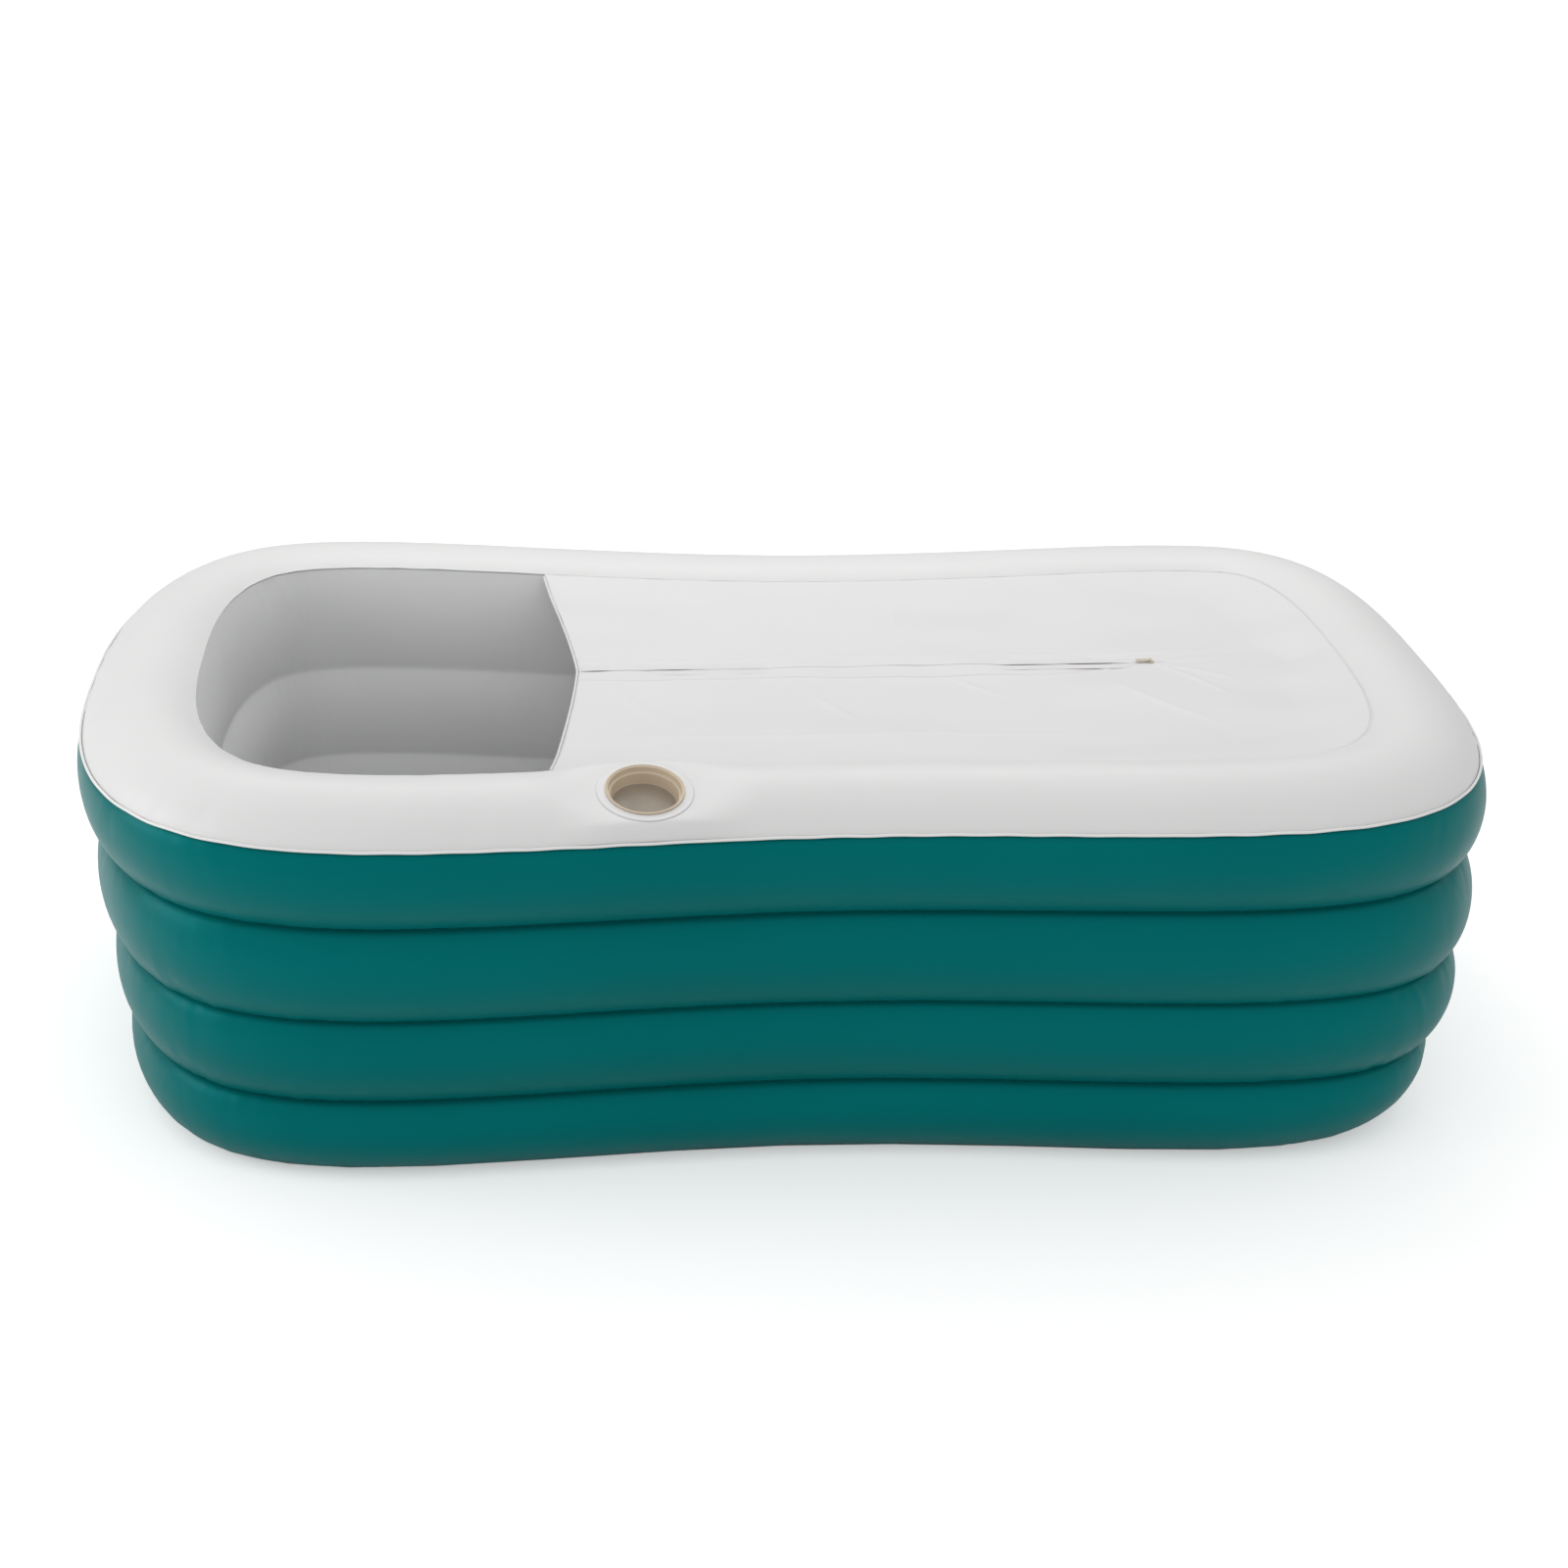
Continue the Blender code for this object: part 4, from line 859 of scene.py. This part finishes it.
def zip_line_height(x):
    return COVER_LINE_HEAD_HEIGHT + COVER_SLOPE * (x - OPENING_MIDDLE_X)


def lip_half_width(x):
    """Half of the gap between the cover's two lips, wider where the zip gapes."""
    half = np.full(np.shape(x), LIP_HALF_WIDTH)
    for middle, reach, wider in LIP_OPENINGS:
        half = half + wider * np.exp(-(((x - middle) / reach) ** 2))
    return half


def placket_line(x, side):
    """How far from the zip the placket's welded edge runs on one side of it."""
    wander = sum(size * np.sin(x * wave + phase * side) for size, wave, phase in PLACKET_WANDER)
    wider = PLACKET_HALF_WIDTH - PLACKET_TIP_HALF_WIDTH + wander
    return PLACKET_TIP_HALF_WIDTH + wider * smooth_fall(x, *PLACKET_NARROWS)


def placket_weld(x, y, side):
    """How much of the placket's weld a place on one half of the cover has."""
    off_line = (y - placket_line(x, side)) / PLACKET_WELD_WIDTH
    return smooth_fall(x, *PLACKET_END) * np.exp(-(off_line ** 2))


def crease(x, y, start, end, width, height):
    """A soft ridge along the line from start to end, tapering at both ends."""
    across = np.subtract(end, start)
    span = np.hypot(*across)
    unit = across / span
    along = (x - start[0]) * unit[0] + (y - start[1]) * unit[1]
    aside = -(x - start[0]) * unit[1] + (y - start[1]) * unit[0]
    taper = np.clip(np.sin(np.clip(along / span, 0, 1) * math.pi), 0, 1) ** FOLD_TAPER_POWER
    return height * taper * np.exp(-((aside / width) ** 2))


def cover_relief(x, y):
    """Height that the cover's creases, ripples and placket add at a place on it."""
    relief = np.zeros(np.shape(x))
    on_zip = smooth_fall(x, *PLACKET_END)
    for side in (1, -1):
        line = placket_line(x, side)
        on_placket = smooth_fall(y * side, line - PLACKET_EDGE, line + PLACKET_EDGE) * (y * side > 0)
        relief += PLACKET_WELD_RISE * placket_weld(x, y * side, side)
        relief += PLACKET_RISE * on_zip * on_placket
    for start, end, width, height in FOLDS:
        relief += crease(x, y, start, end, width, height)
    rng = np.random.default_rng(7)
    for _ in range(RIPPLES):
        wave_x, wave_y = rng.uniform(*RIPPLE_WAVES_ALONG), rng.uniform(*RIPPLE_WAVES_ACROSS)
        phase = rng.uniform(0, 2 * math.pi)
        ripple = np.sin(x * wave_x + y * wave_y * rng.choice([-1, 1]) + phase)
        relief += ripple * RIPPLE_HEIGHT / (wave_x + wave_y) ** 0.5
    past_middle = x - LONG_FOLD_MIDDLE[0]
    off_fold = (y - LONG_FOLD_MIDDLE[1] + LONG_FOLD_SLOPE * past_middle) / LONG_FOLD_WIDTH
    long_fold = smooth_fall(np.abs(past_middle), *LONG_FOLD_REACH) * np.exp(-(off_fold ** 2))
    return relief + LONG_FOLD_HEIGHT * long_fold


def border_points(count):
    """Weld points of the far half, from the opening's corner round to the foot's tip."""
    fine = PLAN.place(np.array([-RIM_WIDTH - FILM * 2]), np.array([SEAM_HEIGHT + RIM_RISE]))[:, 0]
    far = fine[: STATIONS // 2 + 1][::-1]
    first = int(np.argmax(far[:, 0] > OPENING_CORNER_X))
    share = (OPENING_CORNER_X - far[first - 1, 0]) / (far[first, 0] - far[first - 1, 0])
    corner = far[first - 1] + (far[first] - far[first - 1]) * share
    border = np.concatenate([[corner], far[first:]])
    run = np.concatenate([[0], np.cumsum(np.linalg.norm(np.diff(border, axis=0), axis=1))])
    places = np.linspace(0, run[-1], count)
    spaced = np.stack([np.interp(places, run, border[:, axis]) for axis in range(3)], axis=1)
    return spaced, places / run[-1]


def cover_half():
    """A grid over the far half, one row from each weld point in to the zip line."""
    edge, share = border_points(COVER_COLUMNS)
    target = OPENING_MIDDLE_X + (COVER_FOOT_STRAIGHT - OPENING_MIDDLE_X) * share
    wide = np.linspace(0, COVER_FINE_FROM, COVER_ACROSS, endpoint=False)
    across = np.concatenate([wide, np.linspace(COVER_FINE_FROM, 1, COVER_FINE)])
    inner = np.where(target <= SLIT_END_X, lip_half_width(target), 0.0)
    inner *= smooth_fall(target, SLIT_END_X - SLIT_CLOSING, SLIT_END_X)
    reach = np.hypot(edge[:, 0] - target, edge[:, 1])
    x = target[:, None] + (edge[:, 0] - target)[:, None] * (1 - across) ** OPENING_CURVE_POWER
    y = edge[:, 1:2] + (inner[:, None] - edge[:, 1:2]) * across
    band = np.minimum(COVER_BORDER_SHARE_MOST, COVER_BORDER_BAND / reach)[:, None]
    fall = np.clip(1 - across / band, 0, 1) ** COVER_BORDER_POWER
    z = zip_line_height(x) + (edge[:, 2:] - zip_line_height(edge[:, :1])) * fall
    return x, y, z, across


def cover(material):
    x, y, z, across = cover_half()
    free = np.clip(across / COVER_BORDER_CALM, 0, 1) * np.ones_like(x)
    dip = LIP_DIP_HEIGHT * (np.sin(x * 61.0) + 0.6 * np.sin(x * 27.0 + 1.0) - 1.2)
    dip *= np.exp(-((y / LIP_DIP_REACH) ** 2)) * smooth_fall(x, *LIP_DIP_END)
    at_slider = np.exp(-(((x - SLIDER_REST_X) ** 2 + y ** 2) / SLIDER_CALM_REACH ** 2))
    halves, welds = [], []
    for side in (1, -1):
        relief = (cover_relief(x, y * side) * free + dip) * (1 - SLIDER_CALM * at_slider)
        halves.append(np.stack([x, y * side, z + relief], axis=-1))
        welds.append(placket_weld(x, y, side).ravel())
    vertices, faces, offset = [], [], 0
    count, width = x.shape
    for side, half in zip((1, -1), halves):
        i, j = np.meshgrid(np.arange(count - 1), np.arange(width - 1), indexing="ij")
        quad = [i * width + j, i * width + j + 1, (i + 1) * width + j + 1, (i + 1) * width + j]
        quad = np.stack(quad if side > 0 else quad[::-1], axis=-1).reshape(-1, 4) + offset
        vertices.append(half.reshape(-1, 3))
        faces.append(quad)
        offset += count * width
    mesh = bpy.data.meshes.new("leg_cover")
    mesh.from_pydata(np.concatenate(vertices).tolist(), [], np.concatenate(faces).tolist())
    mesh.attributes.new("weld", "FLOAT", "POINT").data.foreach_set("value", np.concatenate(welds))
    join_halves(mesh)
    thing = finished("leg_cover", mesh, material, FILM)
    return stand_for(thing, "cover")


def join_halves(mesh):
    """One mesh from the cover's two halves past the slit's end, with its faces upward."""
    bm = bmesh.new()
    bm.from_mesh(mesh)
    bmesh.ops.remove_doubles(bm, verts=bm.verts, dist=1e-5)
    bmesh.ops.recalc_face_normals(bm, faces=bm.faces)
    if sum(face.normal.z for face in bm.faces) < 0:
        bmesh.ops.reverse_faces(bm, faces=bm.faces)
    bm.to_mesh(mesh)
    bm.free()


def tube(name, line, radius, material, resolution=3):
    """A round bead along a line of points."""
    curve = bpy.data.curves.new(name, "CURVE")
    curve.dimensions = "3D"
    spline = curve.splines.new("POLY")
    spline.points.add(len(line) - 1)
    for point, spot in zip(spline.points, line):
        point.co = (*spot, 1.0)
    curve.bevel_depth = radius
    curve.bevel_resolution = resolution
    curve.use_fill_caps = True
    curve.materials.append(material)
    thing = bpy.data.objects.new(name, curve)
    bpy.context.scene.collection.objects.link(thing)
    return thing


def hems(material):
    """A bead along each half of the cover's free edge."""
    x, y, z, across = cover_half()
    skip = int(np.argmax(across > HEM_START_SHARE))
    forward = HEM_RADIUS + HEM_GAP
    made = []
    for name, side in (("far", 1), ("near", -1)):
        line = np.stack([x[0] - forward, y[0] * side, z[0] - FILM / 2], axis=1)[skip:]
        thing = tube(f"cover_hem_{name}", line.tolist(), HEM_RADIUS, material)
        made.append(stand_for(thing, f"hem_{name}"))
    return made


# Zip


def zip_coil(name, side, node, material):
    """A row of coil teeth, one turned filament, as long as the frame's plain bar."""
    pitch = math.atan(COVER_SLOPE)
    start = Matrix.Translation((OPENING_MIDDLE_X, 0.0, zip_line_height(OPENING_MIDDLE_X)))
    zip_start = start @ Matrix.Rotation(-pitch, 4, "Y")
    low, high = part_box(node)
    turns = ((high.x - low.x) / math.cos(pitch) - COIL_RADIUS * 2) / COIL_PITCH
    wire_radius = COIL_RADIUS - COIL_WIRE
    line = []
    for step in range(int(turns * COIL_TURN_STEPS) + 1):
        turned = step / COIL_TURN_STEPS
        angle = turned * 2 * math.pi
        local = (
            ZIP_START + COIL_RADIUS + turned * COIL_PITCH,
            side * COIL_MIDDLE[0] + wire_radius * math.cos(angle) * side,
            COIL_MIDDLE[1] + wire_radius * math.sin(angle),
        )
        line.append(tuple(zip_start @ Vector(local)))
    thing = tube(name, line, COIL_WIRE, material, resolution=1)
    return stand_for(thing, node)


# Cup holder


def lathe(name, profile, place, material):
    """A piece turned round the place's Z axis, from rows of radius and height."""
    angle = np.linspace(0, 2 * math.pi, LATHE_SIDES, endpoint=False)[:, None]
    radius, height = np.array(profile).T
    height = np.broadcast_to(height, (LATHE_SIDES, len(profile)))
    points = np.stack([np.cos(angle) * radius, np.sin(angle) * radius, height], axis=-1)
    turn = np.array(place)
    points = points @ turn[:3, :3].T + turn[:3, 3]
    thing = grid_object(name, points, material, thickness=0.0)
    bm = bmesh.new()
    bm.from_mesh(thing.data)
    bmesh.ops.remove_doubles(bm, verts=bm.verts, dist=1e-6)
    bmesh.ops.dissolve_degenerate(bm, edges=bm.edges, dist=1e-7)
    bmesh.ops.recalc_face_normals(bm, faces=bm.faces)
    bm.to_mesh(thing.data)
    bm.free()
    return thing


def rounded(corners, radius):
    """A profile with each corner between its ends cut by a small round."""
    points = []
    for before, corner, after in zip([corners[0]] + corners[:-1], corners, corners[1:] + [corners[-1]]):
        if before == corner or after == corner:
            points.append(corner)
            continue
        back = np.subtract(before, corner)
        ahead = np.subtract(after, corner)
        reach = min(radius, np.hypot(*back) * 0.45, np.hypot(*ahead) * 0.45)
        start = np.add(corner, back / np.hypot(*back) * reach)
        end = np.add(corner, ahead / np.hypot(*ahead) * reach)
        for t in np.arange(ROUND_STEPS + 1) / ROUND_STEPS:
            points.append(tuple((1 - t) ** 2 * start + 2 * t * (1 - t) * np.array(corner) + t ** 2 * end))
    return points


def cup(wall_material, floor_material, flange_material):
    """The dish, with its stepped lip and a floor painted darker as shade, and the flange that it sits in.
    """
    dish = [
        (CUP_BODY_RADIUS, CUP_COLLAR_FOOT),
        (CUP_BODY_RADIUS, CUP_LIP_UNDERSIDE),
        (CUP_LIP_RADIUS, CUP_LIP_UNDERSIDE),
        (CUP_LIP_RADIUS, CUP_LIP_TOP),
        (0.0411, CUP_LIP_TOP),
        (0.0406, CUP_LIP_TOP - 0.0009),
        (0.0393, CUP_LIP_TOP - 0.0011),
        (0.0386, -0.0034),
        (0.0364, -0.0038),
        (0.0349, -0.0162),
        (0.0337, CUP_FLOOR_HEIGHT),
        (0.0, CUP_FLOOR_HEIGHT),
    ]
    underside = [(0.0, CUP_UNDERSIDE), (0.0370, CUP_UNDERSIDE), (CUP_BODY_RADIUS, CUP_COLLAR_FOOT)]
    thing = lathe("cup_dish", underside + rounded(dish, CUP_ROUNDING), CUP, wall_material)
    # The floor's faces take the darker copy of the beige, which is painted shade
    thing.data.materials.append(floor_material)
    inverse = CUP.inverted()
    for face in thing.data.polygons:
        spot = inverse @ face.center
        on_floor = CUP_FLOOR_BAND[0] < spot.z < CUP_FLOOR_BAND[1]
        if on_floor and math.hypot(spot.x, spot.y) < CUP_FLOOR_RADIUS:
            face.material_index = 1
    stand_for(thing, "cup_holder")
    low, high = CUP_SEAT_RISE, CUP_SEAT_RISE + FLANGE_THICKNESS
    ring = [
        (FLANGE_RADIUS - 0.0004, low),
        (FLANGE_RADIUS, low + 0.0002),
        (FLANGE_RADIUS - 0.0006, high),
        (FLANGE_RADIUS - 0.0030, high - 0.0001),
        (FLANGE_RADIUS - 0.0036, high - 0.0003),
        (FLANGE_RADIUS - 0.0042, high - 0.0001),
        (CUP_BODY_RADIUS + 0.0040, high),
        (CUP_BODY_RADIUS + 0.0004, high),
        (CUP_BODY_RADIUS + 0.0004, low),
        (FLANGE_RADIUS - 0.0004, low),
    ]
    flange = lathe("cup_ring", ring, CUP, flange_material)
    stand_for(flange, "cup_flange")


# Stage and light


def stage():
    """A pale matt floor that the camera sees nearly white, and that keeps the tub's shadow."""
    mesh = bpy.data.meshes.new("floor")
    corners = [(STAGE_REACH * x, STAGE_REACH * y, 0) for x, y in ((-1, -1), (1, -1), (1, 1), (-1, 1))]
    mesh.from_pydata(corners, [], [(0, 1, 2, 3)])
    floor = bpy.data.objects.new("floor", mesh)
    bpy.context.scene.collection.objects.link(floor)
    material = bpy.data.materials.new("floor")
    material.use_nodes = True
    tree = material.node_tree
    tree.nodes.clear()
    output = tree.nodes.new("ShaderNodeOutputMaterial")
    matt = tree.nodes.new("ShaderNodeBsdfDiffuse")
    matt.inputs["Color"].default_value = (STAGE_GREY, STAGE_GREY, STAGE_GREY, 1.0)
    glow = tree.nodes.new("ShaderNodeEmission")
    path = tree.nodes.new("ShaderNodeLightPath")
    strength = tree.nodes.new("ShaderNodeMath")
    strength.operation = "MULTIPLY"
    strength.inputs[1].default_value = STAGE_GLOW
    tree.links.new(path.outputs["Is Camera Ray"], strength.inputs[0])
    tree.links.new(strength.outputs[0], glow.inputs["Strength"])
    both = tree.nodes.new("ShaderNodeAddShader")
    tree.links.new(matt.outputs[0], both.inputs[0])
    tree.links.new(glow.outputs[0], both.inputs[1])
    tree.links.new(both.outputs[0], output.inputs["Surface"])
    mesh.materials.append(material)


def world():
    """A soft dome, brightest overhead, that the camera sees as plain white."""
    scene_world = bpy.data.worlds.new("studio")
    bpy.context.scene.world = scene_world
    scene_world.use_nodes = True
    tree = scene_world.node_tree
    background = tree.nodes["Background"]
    coordinate = tree.nodes.new("ShaderNodeTexCoord")
    axes = tree.nodes.new("ShaderNodeSeparateXYZ")
    tree.links.new(coordinate.outputs["Generated"], axes.inputs[0])
    path = tree.nodes.new("ShaderNodeLightPath")
    horizon = map_range(tree, axes.outputs["Y"], *DOME_NEAR_TO_FAR)
    height = map_range(tree, axes.outputs["Z"], *DOME_LOW_TO_HIGH)
    light = horizon
    for share, goal in ((height, DOME_OVERHEAD), (path.outputs["Is Camera Ray"], DOME_SEEN)):
        mix = tree.nodes.new("ShaderNodeMix")
        mix.data_type = "FLOAT"
        tree.links.new(share, mix.inputs[0])
        tree.links.new(light, mix.inputs[2])
        mix.inputs[3].default_value = goal
        light = mix.outputs[0]
    tree.links.new(light, background.inputs["Strength"])
    background.inputs["Color"].default_value = (1.0, 1.0, 1.0, 1.0)


def lamp(name, place, aim, size, power):
    data = bpy.data.lights.new(name, "AREA")
    data.shape = "RECTANGLE"
    data.size, data.size_y = size
    data.energy = power
    thing = bpy.data.objects.new(name, data)
    bpy.context.scene.collection.objects.link(thing)
    thing.location = place
    thing.rotation_euler = (Vector(aim) - Vector(place)).to_track_quat("-Z", "Y").to_euler()


# Assembly


def frame_materials():
    """Better finishes for the solids that stay as they are."""
    milky = translucent("milky_pvc", MILKY, 0.32)
    rubber = moulded("valve_rubber", RUBBER_GREY, 0.6)
    beige = moulded("beige_plastic", BEIGE, 0.38)
    tape = woven("zip_tape", COVER_WHITE, TAPE_PITCH)
    base = vinyl("base_vinyl", FLOOR_WHITE, 0.5, 0.02)
    brown = moulded("zip_brown", COIL_BROWN, 0.35)
    chosen = (
        (("_base", "_insert", "_strap", "_cap", "drain"), milky),
        (("_flap",), rubber),
        (("zip_slider", "zip_pull"), beige),
        (("zip_tape",), tape),
        (("zip_end_stop",), brown),
        (("base_sheet",), base),
    )
    for name, thing in NODES.items():
        for keys, material in chosen:
            if not thing.hide_render and any(key in name for key in keys):
                thing.data.materials.clear()
                thing.data.materials.append(material)


def build():
    teal = vinyl("teal_vinyl", TEAL, 0.34, 0.05, specular=0.30, tint=TEAL_SHEEN)
    white = vinyl("white_vinyl", WHITE, 0.42, 0.012)
    slack = vinyl("cover_vinyl", COVER_WHITE, 0.46, 0.012, pulls=0.16)
    inner = vinyl("inner_vinyl", INNER_WHITE, 0.45, 0.02)
    floor = vinyl("floor_vinyl", FLOOR_WHITE, 0.45, 0.02)
    piping = vinyl("piping_vinyl", PIPING_WHITE, 0.4, 0.01)
    for number in range(1, len(OUTER_BULGES) + 1):
        wall_ring(number, teal)
    for number in range(1, len(GROOVE_HEIGHTS) + 1):
        weld_edge(number, teal)
    rim(white)
    bath_wall(inner)
    seam_line = (SEAM_BEAD_REACH, SEAM_HEIGHT)
    bead("seam_bead", seam_line, SEAM_BEAD_RADIUS, piping, "seam_piping")
    inner_line = (-RIM_WIDTH - FILM, SEAM_HEIGHT + RIM_RISE - INNER_BEAD_DROP)
    bead("inner_bead", inner_line, INNER_BEAD_RADIUS, white, "rim_piping")
    air_floor(floor)
    sheet = cover(slack)
    edges = hems(slack)
    coil = moulded("coil_filament", COIL_BROWN, 0.35)
    zip_coil("coil_far", 1, "zip_coil_far", coil)
    zip_coil("coil_near", -1, "zip_coil_near", coil)
    cup(
        moulded("cup_beige", CUP_WALL, 0.36),
        # The cup's floor colour is a darker copy of its beige, painted shade
        moulded("cup_floor_shaded", CUP_FLOOR_SHADED, 0.34, spread=0.07),
        moulded("flange_white", WHITE, 0.40, spread=0.01),
    )
    frame_materials()


make_camera()
build()
stage()
world()
for named_lamp in LAMPS:
    lamp(*named_lamp)
bpy.context.scene.view_settings.view_transform = "Standard"
